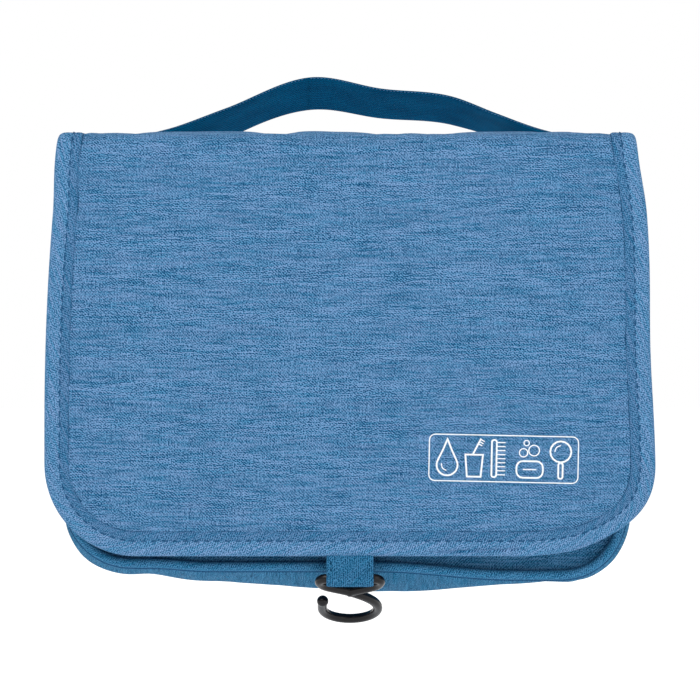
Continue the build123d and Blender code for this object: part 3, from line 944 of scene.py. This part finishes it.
def bound_seam(name, section, profile, node, closed_top=False, shaded=()):
    """A bound seam that stands along a body section. The profile gives outward offset and depth pairs."""
    path = section
    if closed_top:
        lid_x = np.linspace(section[-1, 0], section[0, 0], 60)[1:-1]
        path = np.concatenate([section, np.stack([lid_x, np.full(len(lid_x), section[0, 1])], axis=1)])
    out = -inward(path)
    run = arc_lengths(path)
    profile = np.array(profile)
    uneven = ripple(run / 9, run * 0, 21) * 0.25
    rings = []
    for offset, depth in profile:
        shifted = path + out * offset
        depths = depth + uneven * (depth > profile[:, 1].mean())
        rings.append(np.stack([shifted[:, 0], -depths, shifted[:, 1]], axis=-1))
    points = np.stack(rings, axis=1).reshape(-1, 3)
    count, size = len(path), len(profile)
    faces = joined_ring(count, size) if closed_top else sheet_faces(count, size, wrap=True)
    # Faces listed as shaded carry painted seam shadow.
    slots = [int(c in shaded) for c in range(size)] * (len(faces) // size)
    uv = ring_uv(run, arc_lengths(profile)).reshape(-1, 2)
    obj = outward(make_mesh(name, points, faces, uv, [trim_cloth, ditch_shadow_cloth], slots, subdivide=True))
    fit(obj, "binding", "bag_body", node)


def build_seams():
    """The bound rim round the front opening and the bound seam round the back."""
    near, far = wall_front - 1.0, -rim_low[1]
    rim = [(0.3, near - 0.4), (1.5, near - 0.2), (1.8, near + 0.5), (1.0, near + 1.2), (1.0, near + 2.4),
           (0.9, far - 1.8), (0.1, far - 0.3), (-1.4, far), (-2.7, far - 0.6), (-3.1, far - 2.2),
           (-3.0, near + 1.0), (-2.0, near)]
    # The four outermost rim faces, where the rim meets the wall, carry painted seam shadow.
    bound_seam("front_rim_tape", front_section, rim, "front_rim_binding", True, (0, 1, 2, 3))
    back = [(0.2, 0.3), (1.0, 0.9), (1.2, 2.4), (0.6, 3.8), (-0.6, 4.4), (-2.2, 4.0), (-2.6, 1.6),
            (-1.0, 0.3)]
    bound_seam("back_seam_tape", rear_section, back, "back_binding")


def build_front_panel():
    """Recessed front panel inside the rim, in the shell's cloth with painted shade."""
    low, high = box_mm("front_panel_shell")
    thick = 1.2
    inside = resample(front_section + inward(front_section) * 2.2, 0.6)
    rows, columns = 48, 61
    left, right = inside[:, 0].min(), inside[:, 0].max()
    across = inside[:, 0].mean() + (right - left) / 2 * np.sin(np.linspace(-QUARTER, QUARTER, columns))
    across = np.clip(across, left + 0.01, right - 0.01)
    level = np.array([inside[np.abs(inside[:, 0] - here) < 1.5, 1].min() - 0.4 for here in across])
    top = high[2] + 1.5
    x = np.repeat(across[None, :], rows, axis=0)
    z = top + (level[None, :] - top) * np.linspace(0, 1, rows)[:, None]
    edge = edge_distance(x, z, inside)
    face = -low[1] + ripple(x / 25, z / 22, 31) * 0.25 * step(edge, 0, 12) - 0.5 * (1 - step(edge, 0, 6))
    outer, inner = np.stack([x, -face, z], axis=-1), np.stack([x, -face + thick, z], axis=-1)
    uv = np.stack([x, z], axis=-1)
    obj = pad_mesh("front_panel_pad", outer, inner, uv, [shaded_recess_cloth, lining_cloth], subdivide=True)
    fit(obj, "shell_fabric", "bag_body", "front_panel_shell", "front_panel_lining")


# ---------------------------------------------------------------- small soft plates, pockets and zips
def crowded(length):
    """Shares from 0 to 1, closer together at both ends."""
    even = np.linspace(0, 1, max(int(length / 5.0), 4) + 1)
    return (1 - np.cos(even * HALF_TURN)) / 2 * 0.35 + even * 0.65


def soft_plate(name, space, body, material, slot, *nodes, bulge=0.4, wave=0.0):
    """A rounded, slightly crowned sheet in a thin box of space."""
    low, high = space
    size = high - low
    thin = int(np.argmin(size))
    a, b = [i for i in range(3) if i != thin]
    u, w = np.meshgrid(crowded(size[a]), crowded(size[b]), indexing="ij")
    edge = np.minimum(np.minimum(u, 1 - u) * size[a], np.minimum(w, 1 - w) * size[b])
    swollen = size[thin] / 2 * (0.5 + 0.5 * step(edge, 0, 1.5)) + bulge * step(edge, 0, 12)
    waves = ripple(u * size[a] / 15, w * size[b] / 15, 17) * wave * step(edge, 0, 8)
    layers = []
    for sign in (1, -1):
        points = np.zeros(u.shape + (3,))
        points[..., a] = low[a] + u * size[a]
        points[..., b] = low[b] + w * size[b]
        points[..., thin] = (low[thin] + high[thin]) / 2 + sign * swollen + waves
        layers.append(points)
    uv = np.stack([u * size[a], w * size[b]], axis=-1)
    return fit(pad_mesh(name, *layers, uv, [material], subdivide=True), slot, body, *nodes)


def border_tape(name, node, body):
    """A folded tape frame round a pocket, with mitred corners and a soft crown."""
    width = 5.0
    low, high = box_mm(node)
    corners = [(low[0], high[2]), (high[0], high[2]), (high[0], low[2]), (low[0], low[2])]
    profile = [(0.0, 0.15), (0.3, 0.85), (1.0, 1.0), (width - 1.0, 1.0), (width - 0.3, 0.85), (width, 0.15),
               (width, 0.0), (0.0, 0.0)]
    back, thick = (-high[1], high[1] - low[1]) if body == "bag_body" else (-low[1], low[1] - high[1])
    centre, half = (low + high)[[0, 2]] / 2, (high - low)[[0, 2]] / 2
    corner_apart = 300
    verts, uv = [], []
    for side, (corner, following) in enumerate(zip(corners, corners[1:] + corners[:1])):
        length = math.dist(corner, following)
        for share in np.linspace(0, 1, max(int(length / 8), 3), endpoint=False):
            point = np.array(corner) * (1 - share) + np.array(following) * share
            for offset, height in profile:
                x, z = centre + (point - centre) * (half - offset) / half
                verts.append((x, -(back + thick * height), z))
                uv.append((share * length + side * corner_apart, offset + height))
    faces = joined_ring(len(verts) // len(profile), len(profile))
    obj = outward(make_mesh(name, verts, faces, uv, [trim_cloth], subdivide=True))
    fit(obj, "binding", body, node)


def coil_chain(name, node, body, across_axis):
    """Two nylon coils that meet along the middle of a zip."""
    low, high = box_mm(node)
    middle = (low + high) / 2
    thin = 3 - across_axis
    wire, pitch = 0.34, 1.5
    half_width, half_thick = (high - low)[across_axis] / 2, (high - low)[thin] / 2
    turns = int((high[0] - low[0]) / pitch)
    t = np.linspace(0, turns, turns * 8 + 1)
    parts = []
    for side in (-1, 1):
        swing = half_width / 2 + 0.1 + (half_width / 2 - 0.35) * np.cos(t * 2 * HALF_TURN)
        points = np.zeros((len(t), 3))
        points[:, 0] = np.minimum(low[0] + t * pitch + (pitch / 2 if side > 0 else 0), high[0] - 0.3)
        points[:, across_axis] = middle[across_axis] + side * swing
        points[:, thin] = middle[thin] + (half_thick - 0.35) * np.sin(t * 2 * HALF_TURN)
        parts.append(tube(points, wire, sides=5))
    fit(thread_mesh(name, parts, coil_plastic, plane=(0, 1)), "zip_chain", body, node)


def build_zip(prefix, body, across_axis):
    """Tapes and coils of one zip. Its slider, pull and stops stay as they are, in lacquered metal."""
    low, high = box_mm(prefix + "_tape")
    chain_low, chain_high = box_mm(prefix + "_chain")
    inner_low, inner_high = high.copy(), low.copy()
    inner_low[across_axis], inner_high[across_axis] = chain_low[across_axis], chain_high[across_axis]
    half_tape = (body, tape_cloth, "zip_tape")
    soft_plate(prefix + "_tape_low", (low, inner_low), *half_tape, prefix + "_tape", bulge=0.0)
    soft_plate(prefix + "_tape_high", (inner_high, high), *half_tape, bulge=0.0)
    coil_chain(prefix + "_coil", prefix + "_chain", body, across_axis)
    for part in ("slider", "pull", "stops"):
        mesh = frame["nodes"][f"{prefix}_{part}"].data
        mesh.materials.clear()
        mesh.materials.append(zip_metal)


def zip_panel():
    """Cloth strips along both sides of the main zip, joined past its ends."""
    low, high = box_mm("top_flange_rear")
    tape_rear = box_mm("main_zip_tape")[1][1]
    stops_low, stops_high = box_mm("main_zip_stops")
    rear_part = (np.array([low[0], tape_rear, low[2]]), high)
    for place, space in (("front", box_mm("top_flange_front")), ("rear", rear_part)):
        soft_plate("zip_panel_" + place, space, "bag_body", shell_cloth, "shell_fabric",
                   "top_flange_" + place, wave=0.2)
    overlap, proud = 1.0, 0.1
    for name, x_from, x_to in (("left", low[0], stops_low[0]), ("right", stops_high[0], high[0])):
        end_low = np.array([x_from, low[1] - overlap, low[2] - proud])
        end_high = np.array([x_to, tape_rear + overlap, high[2] + proud])
        soft_plate("zip_end_" + name, (end_low, end_high), "bag_body", trim_cloth, "shell_fabric", bulge=0.2)


def cloth_button(node, body):
    """A cloth-covered disc with a rounded edge and a sewn rim."""
    low, high = box_mm(node)
    centre = (low + high) / 2
    radius, thick = (high - low)[0] / 2, (high - low)[1]
    forward, base = (-1, high[1]) if body == "bag_body" else (1, low[1])
    profile = [(radius + 1.6, 0.1), (radius + 1.2, 0.5), (radius + 0.2, 0.6), (radius, thick * 0.6),
               (radius * 0.93, thick * 0.9), (radius * 0.75, thick), (radius * 0.35, thick), (0.01, thick)]
    angles = np.linspace(0, 2 * HALF_TURN, 40, endpoint=False)
    grid = np.array([[(centre[0] + r * math.cos(a), base + forward * h, centre[2] + r * math.sin(a))
                      for a in angles] for r, h in profile])
    obj = bar_mesh(node + "_cover", grid, grid[..., [0, 2]], shell_cloth, subdivide=True)
    fit(obj, "shell_fabric", body, node)


def elastic_loops():
    """Elastic band on the back lining, standing out in three round loops."""
    low, high = box_mm("bottle_elastic_band")
    loops, lines = 3, 7
    span = (high[0] - low[0]) / 3.17
    x = np.linspace(low[0], high[0], 181)
    phase = (x + span * loops / 2) / span
    arch = np.where((phase > 0) & (phase < loops), np.abs(np.sin(phase * HALF_TURN)) ** 0.55, 0)
    path = np.stack([x, back_depth + 1.0 + (high[1] - low[1] - 2.2) * arch], axis=1)
    heights = np.linspace(low[2], high[2], lines)
    rows = []
    for offset, order in ((0.5, heights), (-0.5, heights[::-1])):
        p = path + inward(path) * offset
        rows += [np.stack([p[:, 0], -p[:, 1], np.full(len(x), z)], axis=-1) for z in order]
    uv = ring_uv(arc_lengths(path), np.arange(2 * lines) * 4.0)
    obj = bar_mesh("bottle_loops", np.stack(rows, axis=1), uv, elastic_cloth)
    fit(obj, "elastic", "bag_body", "bottle_elastic_band")


def build_pockets():
    """Zips, mesh pockets with their borders, and what is inside the compartment."""
    build_zip("main_zip", "bag_body", 1)
    zip_panel()
    for place, body in (("front", "bag_body"), ("flap", "flap_front")):
        build_zip(place + "_pocket_zip", body, 2)
        border_tape(place + "_pocket_frame", place + "_pocket_border", body)
        node = place + "_pocket_mesh"
        soft_plate(place + "_pocket_net", box_mm(node), body, mesh_cloth, "mesh", node, bulge=0.1, wave=0.3)
    node = "inner_slip_pocket"
    soft_plate("slip_pocket", box_mm(node), "bag_body", lining_cloth, "lining", node, bulge=0.1)
    cloth_button("body_closure_magnet", "bag_body")
    cloth_button("flap_closure_magnet", "flap_front")
    elastic_loops()


# ---------------------------------------------------------------- handle, loop, hook and print
STRAP_JOIN = -18.0
STRAP_REACH = strap_high[0]
STRAP_BASE = crease_height + HALF_SHEET + 3.1
STRAP_CREST = strap_high[2] + 4.4 - STRAP_BASE
# share of the reach, share of the crest's rise and share of the width seen from the front
STRAP_LINE = [(-1.0, -0.1, 1.0), (-0.73, 0.07, 0.95), (-0.5, 0.44, 0.62), (-0.15, 1.0, 0.65),
              (0.12, 0.8, 0.59), (0.42, 0.64, 0.55), (0.585, 0.35, 0.5), (0.77, 0.06, 0.93), (1.0, -0.1, 1.0)]


def strap_frame(x):
    """The strap's front edge at each X and the direction across it."""
    places, rises, shown = (np.array(column) for column in zip(*STRAP_LINE))
    rise = spline(places * STRAP_REACH, rises * STRAP_CREST, x)
    tilt = np.arcsin(np.clip(spline(places * STRAP_REACH, shown, x), 0, 0.995))
    behind_back, swing_out = 1.4, 8.0
    edge = np.stack([x, behind_back + swing_out * step(rise, 0, 14), STRAP_BASE + rise], axis=1)
    across = np.stack([0 * x, np.cos(tilt), -np.sin(tilt)], axis=1)
    return edge, across


def bend_strap(obj, side):
    """Bake one half of the strap's placement into its mesh; it is not bent."""
    side * 86 * MM
    side * 60 * MM
    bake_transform(obj)


def build_handle():
    """Webbing strap in two halves that meet at the crest, with a pale edge row that is partly a painted highlight,
    and its ends' box stitching.
    """
    right_x = np.linspace(STRAP_JOIN, STRAP_REACH, 90)
    x = np.concatenate([np.linspace(-STRAP_REACH, STRAP_JOIN, 70), right_x[1:]])
    edge, across = strap_frame(x)
    normal = unit(np.cross(np.gradient(edge, axis=0), across))
    run = arc_lengths(edge)
    shares = np.array([0.0, 0.02, 0.07, 0.2, 0.4, 0.6, 0.8, 0.93, 0.98, 1.0])
    thick = np.array([0.3, 0.75, 1.0, 0.92, 0.88, 0.88, 0.92, 1.0, 0.75, 0.3]) * STRAP_THICK / 2

    def lay(t, share, height):
        """Places on the strap: run along it, share of its width and height off its middle."""
        share, height = (np.broadcast_to(value, np.shape(t))[:, None] for value in (share, height))
        return at(t, run, edge) + at(t, run, across) * STRAP_WIDTH * share + at(t, run, normal) * height

    round_shares = np.concatenate([shares, shares[::-1]])
    round_thick = np.concatenate([thick, -thick[::-1]])
    grid = np.stack([lay(run, share, height) for share, height in zip(round_shares, round_thick)], axis=1)
    uv = ring_uv(run, np.concatenate([shares, 2 - shares[::-1]]) * STRAP_WIDTH)
    join = int(np.argmin(np.abs(x - STRAP_JOIN)))
    face = STRAP_THICK / 2 - 0.1
    for name, side, part in (("left", -1, slice(0, join + 1)), ("right", 1, slice(join, None))):
        strap = bar_mesh("strap_" + name, grid[part], uv[part], strap_cloth)
        for cap in strap.data.polygons[-2:]:
            cap.use_smooth = False
        bend_strap(strap, side)
        if side < 0:
            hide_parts("handle_strap", "handle_anchors")
        ends = sorted(np.interp(side * (STRAP_REACH - inset), x, run) for inset in (1, 17))

        def sewn(path, limits):
            return stitch_row(path, limits, length=2.0, gap=1.1, radius=0.24)

        stitches = []
        for start, finish in ((0.12, 0.12), (0.88, 0.88), (0.12, 0.88), (0.88, 0.12)):
            def along(t, height):
                share = start + (finish - start) * (t - ends[0]) / (ends[1] - ends[0])
                return lay(t, share, face + height)
            stitches.append(sewn(along, ends))
        for end in ends:
            def down(t, height):
                return lay(np.full(len(t), end), t / STRAP_WIDTH, face + height)
            stitches.append(sewn(down, (1.4, 19.0)))
        bend_strap(thread_mesh("strap_stitches_" + name, stitches, pale_thread_and_edge_glint), side)

        # The pale thread row along the strap's front edge is partly a painted highlight of that edge catching
        # light.
        def picot(t, height):
            return lay(t, 0.004, -STRAP_THICK * 0.3 - height)
        limits = (run[0], run[join]) if side < 0 else (run[join], run[-1])
        row = stitch_row(picot, limits, length=0.9, gap=0.6, radius=0.2, sink=0.1)
        bend_strap(thread_mesh("strap_selvedge_glint_" + name, [row], pale_thread_and_edge_glint), side)


def build_loop():
    """Folded tape that comes out from under the flap's tape, round the hook's bar and back up."""
    low, high = box_mm("hook_tab_loop")
    width = high[0] - low[0]
    bar = 2.95
    down = np.linspace(flap_low[2] + 6, pivot_height + 1.5, 14)
    hug = 0.85 - 0.5 * step(down, flap_low[2] - 1.5, 2)
    angles = np.linspace(0.15, HALF_TURN - 0.15, 12)
    front_leg = np.stack([front_depth + hug, down], axis=1)
    wrap = np.stack([front_depth + bar * np.cos(angles), pivot_height - bar * np.sin(angles)], axis=1)
    rear_leg = np.stack([front_depth - hug, down], axis=1)[::-1]
    path = resample(np.concatenate([front_leg, wrap, rear_leg]), 1.0)
    shares = np.array([0.0, 0.04, 0.15, 0.38, 0.62, 0.85, 0.96, 1.0])
    puff = np.array([0.3, 0.55, 0.62, 0.6, 0.6, 0.62, 0.55, 0.3])
    rows = []
    for share, thick in zip(np.concatenate([shares, shares[::-1]]), np.concatenate([puff, -puff[::-1]])):
        p = path + inward(path) * thick
        rows.append(np.stack([np.full(len(p), low[0] + share * width), -p[:, 0], p[:, 1]], axis=-1))
    uv = ring_uv(arc_lengths(path), np.concatenate([shares, 2 - shares[::-1]]) * width)
    loop = bar_mesh("hook_loop_tape", np.stack(rows, axis=1), uv, loop_cloth, subdivide=True)
    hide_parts("hook_tab_loop")
    stitches = []
    for x in (low[0] + 1.9, high[0] - 1.9):
        def place(t, height):
            return np.stack([np.full(len(t), x), -(front_depth + 1.45 + height), -t], axis=-1)
        stitches.append(stitch_row(place, (-flap_low[2] + 1, -pivot_height - 1), length=1.6, gap=1.0))
    bend_from, bend_to = ((0, 0, (tab_height + off) * MM) for off in (1.5, -1.5))
    for obj in (loop, thread_mesh("hook_loop_stitches", stitches, loop_thread)):
        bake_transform(obj)
        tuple(bend_from)
        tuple(bend_to)


def glide(start, end, leave, arrive, steps=16):
    """A smooth curve between two points with given directions."""
    start, end = np.array(start, float), np.array(end, float)
    t = np.linspace(0, 1, steps)[:, None]
    reach = np.linalg.norm(end - start) * 1.1
    leave, arrive = (unit(np.array(v, float)) * reach for v in (leave, arrive))
    a, b = (1 + 2 * t) * (1 - t) ** 2, t * (1 - t) ** 2
    c, d = t ** 2 * (3 - 2 * t), t ** 2 * (t - 1)
    return a * start + b * leave + c * end + d * arrive


def ball(centre, radius):
    """Points and faces of a ball."""
    rings, sides = 15, 20
    rise = np.linspace(-1, 1, rings) * QUARTER * 0.98
    turn = np.linspace(0, 2 * HALF_TURN, sides, endpoint=False)
    points = [centre + radius * np.array([math.cos(a) * math.cos(b), math.cos(a) * math.sin(b), math.sin(a)])
              for a in rise for b in turn]
    return np.array(points), capped(rings, sides)


def build_hook():
    """One-piece moulded hook: a ring for the loop that runs into an open hook with a ball at its tip."""
    seat = next(m for m in frame["record"]["mounts"] if m["name"] == "hook_seat")["pos_m"]
    down = np.array([0, seat[1] / MM + front_depth, seat[2] / MM - pivot_height])
    drop = np.linalg.norm(down)
    down /= drop
    low, high = box_mm("hanging_hook")
    ring = (high[0] - low[0]) / 2 - HOOK_BAR / 2
    bend = ring - 1.0
    neck = np.array([0, 14.0])
    slope = np.array([11.0, 8.5])
    corner_radius = 3.0
    lines = []
    for hand in (-1, 1):
        bar = np.array([[0, 0], [hand * (ring - corner_radius), 0]])
        corner = glide(bar[-1], (hand * ring, corner_radius), (hand, 0), (0, 1), 10)
        side = glide(corner[-1], neck, (0, 1), slope * [-hand, 1])
        lines.append(np.concatenate([bar, corner[1:], side[1:]]))
    angles = np.linspace(0, HALF_TURN, 40)
    bowl = np.stack([bend * np.cos(angles), drop + bend * np.sin(angles)], axis=1)
    curl = glide(neck, bowl[0], slope, (0, 1))
    tip = np.array([[-bend, drop - 3.0], [-bend + 0.2, drop - 7.2]])
    lines.append(np.concatenate([curl, bowl[1:], tip]))
    pivot = np.array([0, -front_depth, pivot_height])

    def placed(flat):
        return pivot + flat[:, :1] * [1, 0, 0] + flat[:, 1:] * down

    parts = [tube(placed(resample(line, 0.6)), HOOK_BAR / 2, sides=20) for line in lines]
    for place, extra in ((tip[-1], 0.45), (neck, 0.2)):
        parts.append(ball(placed(place[None])[0], HOOK_BAR / 2 + extra))
    rough = outward(make_mesh("hook_rough", *join_parts(parts)))
    remesh = rough.modifiers.new("join", "REMESH")
    remesh.mode = "VOXEL"
    remesh.voxel_size = 0.22 * MM
    relax = rough.modifiers.new("relax", "SMOOTH")
    relax.factor = 0.5
    relax.iterations = 14
    joined = bpy.data.meshes.new_from_object(rough.evaluated_get(bpy.context.evaluated_depsgraph_get()))
    bpy.data.objects.remove(rough)
    joined.shade_smooth()
    joined.materials.append(hook_plastic)
    fit(show("hook_moulding", joined), "hook_plastic", "hook", "hanging_hook")


def rounded(x0, z0, x1, z1, r):
    """A closed rounded rectangle."""
    points = []
    for cx, cz, a0 in ((x1 - r, z1 - r, 0), (x0 + r, z1 - r, 1), (x0 + r, z0 + r, 2), (x1 - r, z0 + r, 3)):
        for a in np.linspace(a0 * QUARTER, (a0 + 1) * QUARTER, 5):
            points.append((cx + r * math.cos(a), cz + r * math.sin(a)))
    return points + points[:1]


def curve(*corners):
    """A smooth open line through a few points."""
    corners = np.array(corners, float)
    t = np.arange(len(corners))
    fine = np.linspace(0, len(corners) - 1, len(corners) * 5)
    return np.stack([spline(t, corners[:, 0], fine), spline(t, corners[:, 1], fine)], axis=1)


BOLD, FINE = 0.72, 0.45


def drop_icon():
    """A drop with a highlight."""
    side = [(4.3 * math.cos(a), 4.3 * math.sin(a) - 3.0) for a in np.linspace(-QUARTER, 0.55, 9)]
    side += [(1.7, 3.4), (0.0, 7.6)]
    return [(side + [(-x, z) for x, z in side[-2::-1]], BOLD),
            (curve((-2.3, -2.6), (-1.9, -4.3), (-0.4, -5.2)), FINE)]


def cup_icon():
    """A brush in a cup."""
    cup = [(-3.6, 1.4), (-2.8, -7.6), (2.8, -7.6), (3.6, 1.4), (-3.6, 1.4)]
    bristles = [([(x, z), (x + 1.5, z - 0.8)], FINE) for x, z in ((1.6, 5.9), (2.1, 6.8), (2.6, 7.7))]
    return [(cup, BOLD), ([(-0.6, 1.4), (2.6, 7.8)], BOLD)] + bristles


def comb_icon():
    """A comb on its end."""
    teeth = [([(-1.0, z), (2.4, z)], FINE) for z in np.linspace(-6.6, 6.6, 9)]
    return [(rounded(-3.0, -7.6, -1.0, 7.6, 0.9), BOLD)] + teeth


def soap_icon():
    """A bar of soap with three bubbles."""
    bubbles = [(rounded(x - r, z - r, x + r, z + r, r), FINE)
               for x, z, r in ((-2.6, 2.6, 1.7), (1.7, 3.6, 2.2), (-1.4, 6.6, 1.1))]
    return [(rounded(-5.4, -7.6, 5.4, -0.8, 2.6), BOLD), ([(-2.6, -4.2), (2.6, -4.2)], FINE)] + bubbles


def mirror_icon():
    """A hand mirror with a highlight."""
    return [(rounded(-4.3, -1.0, 4.3, 7.6, 4.3), BOLD), (rounded(-0.9, -7.7, 0.9, -1.3, 0.8), BOLD),
            (curve((-2.4, 3.4), (-1.8, 5.0), (-0.2, 5.8)), FINE)]


def pictograms(width, height):
    """Lines of the print: a rounded frame with five plain drawings in a row, each with its line width."""
    w, h = width / 2, height / 2
    lines = [(rounded(-w, -h, w, h, 2.4), FINE)]
    row = ((7.4, drop_icon), (18.4, cup_icon), (28.6, comb_icon), (41.2, soap_icon), (53.8, mirror_icon))
    for across, icon in row:
        lines += [(np.asarray(points, float) + [across - w, 0], bold) for points, bold in icon()]
    return lines


def ribbon(points, width, lay):
    """A thin printed line laid on the cloth."""
    closed = math.dist(points[0], points[-1]) < 1e-6
    corners = np.asarray(points, float)
    path = []
    for a, b in zip(corners[:-1], corners[1:]):
        count = math.ceil(np.linalg.norm(b - a) / 0.8 - 1e-6)
        path += [a + (b - a) * i / count for i in range(count)]
    path = np.array(path + [corners[-1]])
    steps = unit(np.diff(path, axis=0))
    before = np.concatenate([steps[-1:] if closed else steps[:1], steps])
    after = np.concatenate([steps, steps[:1] if closed else steps[-1:]])
    side_a, side_b = (np.stack([-d[:, 1], d[:, 0]], axis=1) for d in (before, after))
    mitre = unit(side_a + side_b)
    mitre /= np.maximum(np.sum(mitre * side_b, axis=1), 0.5)[:, None]
    if not closed:
        path[0] -= steps[0] * width * 0.4
        path[-1] += steps[-1] * width * 0.4
    grid = np.stack([lay(path + mitre * width / 2 * k) for k in (-1, 0, 1)], axis=1)
    return grid.reshape(-1, 3), sheet_faces(len(path), 3)


def build_print(pad):
    """White pictograms printed on the flap, laid on its real surface."""
    low, high = box_mm("flap_print")
    centre = (low + high) / 2
    tree = BVHTree.FromObject(pad, bpy.context.evaluated_depsgraph_get())
    turn = math.radians(-1.2)
    ink_height = 0.12

    def lay(flat):
        x = centre[0] + flat[:, 0] * math.cos(turn) - flat[:, 1] * math.sin(turn)
        z = centre[2] + flat[:, 0] * math.sin(turn) + flat[:, 1] * math.cos(turn)
        places = []
        for px, pz in zip(x, z):
            hit = tree.ray_cast(Vector((px * MM, -0.3, pz * MM)), Vector((0, 1, 0)))[0]
            places.append((px, hit.y / MM - ink_height, pz))
        return np.array(places)

    drawn = [ribbon(points, width, lay) for points, width in pictograms(high[0] - low[0], high[2] - low[2])]
    obj = thread_mesh("flap_pictograms", drawn, print_ink)
    for polygon in obj.data.polygons:
        if polygon.normal.y > 0:
            polygon.flip()
    fit(obj, "print", "flap_front", "flap_print")


# ---------------------------------------------------------------- floor, light and camera
CAMERA_DISTANCE = 2.5
VIEW_WIDTH = 0.287
VIEW_CENTRE = 0.0056
SKY_LIGHT = 0.62
LAMPS = (("key", (-0.5, -1.1, 1.2), 11.0), ("fill", (0.9, -1.0, 0.4), 3.0), ("rear", (0.2, 1.2, 0.9), 6.0))


def build_floor():
    """A plain pale floor below the swinging hook's reach."""
    hook_low, hook_high = box_mm("hanging_hook")
    hook_reach = math.hypot(hook_high[1] + front_depth, pivot_height - hook_low[2])
    height = (pivot_height - hook_reach - 1.0) * MM
    half = 12.0
    mesh = bpy.data.meshes.new("floor")
    corners = [(x * half, y * half, height) for x, y in ((-1, -1), (1, -1), (1, 1), (-1, 1))]
    mesh.from_pydata(corners, [], [(0, 1, 2, 3)])
    mesh.materials.append(paper("floor_paper"))
    show("floor", mesh)


def build_light():
    """Soft light from all round, with the sky seen as white, and three large lamps."""
    scene = bpy.context.scene
    world = bpy.data.worlds.new("studio")
    scene.world = world
    world.use_nodes = True
    nodes, links = world.node_tree.nodes, world.node_tree.links
    sky = nodes["Background"]
    sky.inputs[0].default_value = (1.0, 1.0, 1.0, 1.0)
    ray = nodes.new("ShaderNodeLightPath")
    strength = nodes.new("ShaderNodeMapRange")
    strength.inputs["To Min"].default_value = SKY_LIGHT
    strength.inputs["To Max"].default_value = 1.0
    links.new(ray.outputs["Is Camera Ray"], strength.inputs["Value"])
    links.new(strength.outputs["Result"], sky.inputs[1])
    scene.view_settings.view_transform = "Standard"
    for name, place, power in LAMPS:
        lamp = bpy.data.lights.new(name, "AREA")
        lamp.size = 1.0
        lamp.energy = power
        obj = show(name, lamp)
        obj.location = place
        obj.rotation_euler = (Vector((0, -0.04, 0)) - obj.location).to_track_quat("-Z", "Y").to_euler()


def build_camera():
    """A long lens straight in front of the flap, as in the photo."""
    lens = bpy.data.cameras.new("camera")
    lens.lens = lens.sensor_width * CAMERA_DISTANCE / VIEW_WIDTH
    lens.clip_end = 50
    camera = show("camera", lens)
    camera.location = (0, -front_depth * MM - CAMERA_DISTANCE, VIEW_CENTRE)
    camera.rotation_euler = (QUARTER, 0, 0)
    bpy.context.scene.camera = camera


build_back()
flap_pad = build_flap()
build_flap_seam()
build_gusset()
build_seams()
build_front_panel()
build_pockets()
build_handle()
build_loop()
build_hook()
build_print(flap_pad)
build_floor()
build_light()
build_camera()
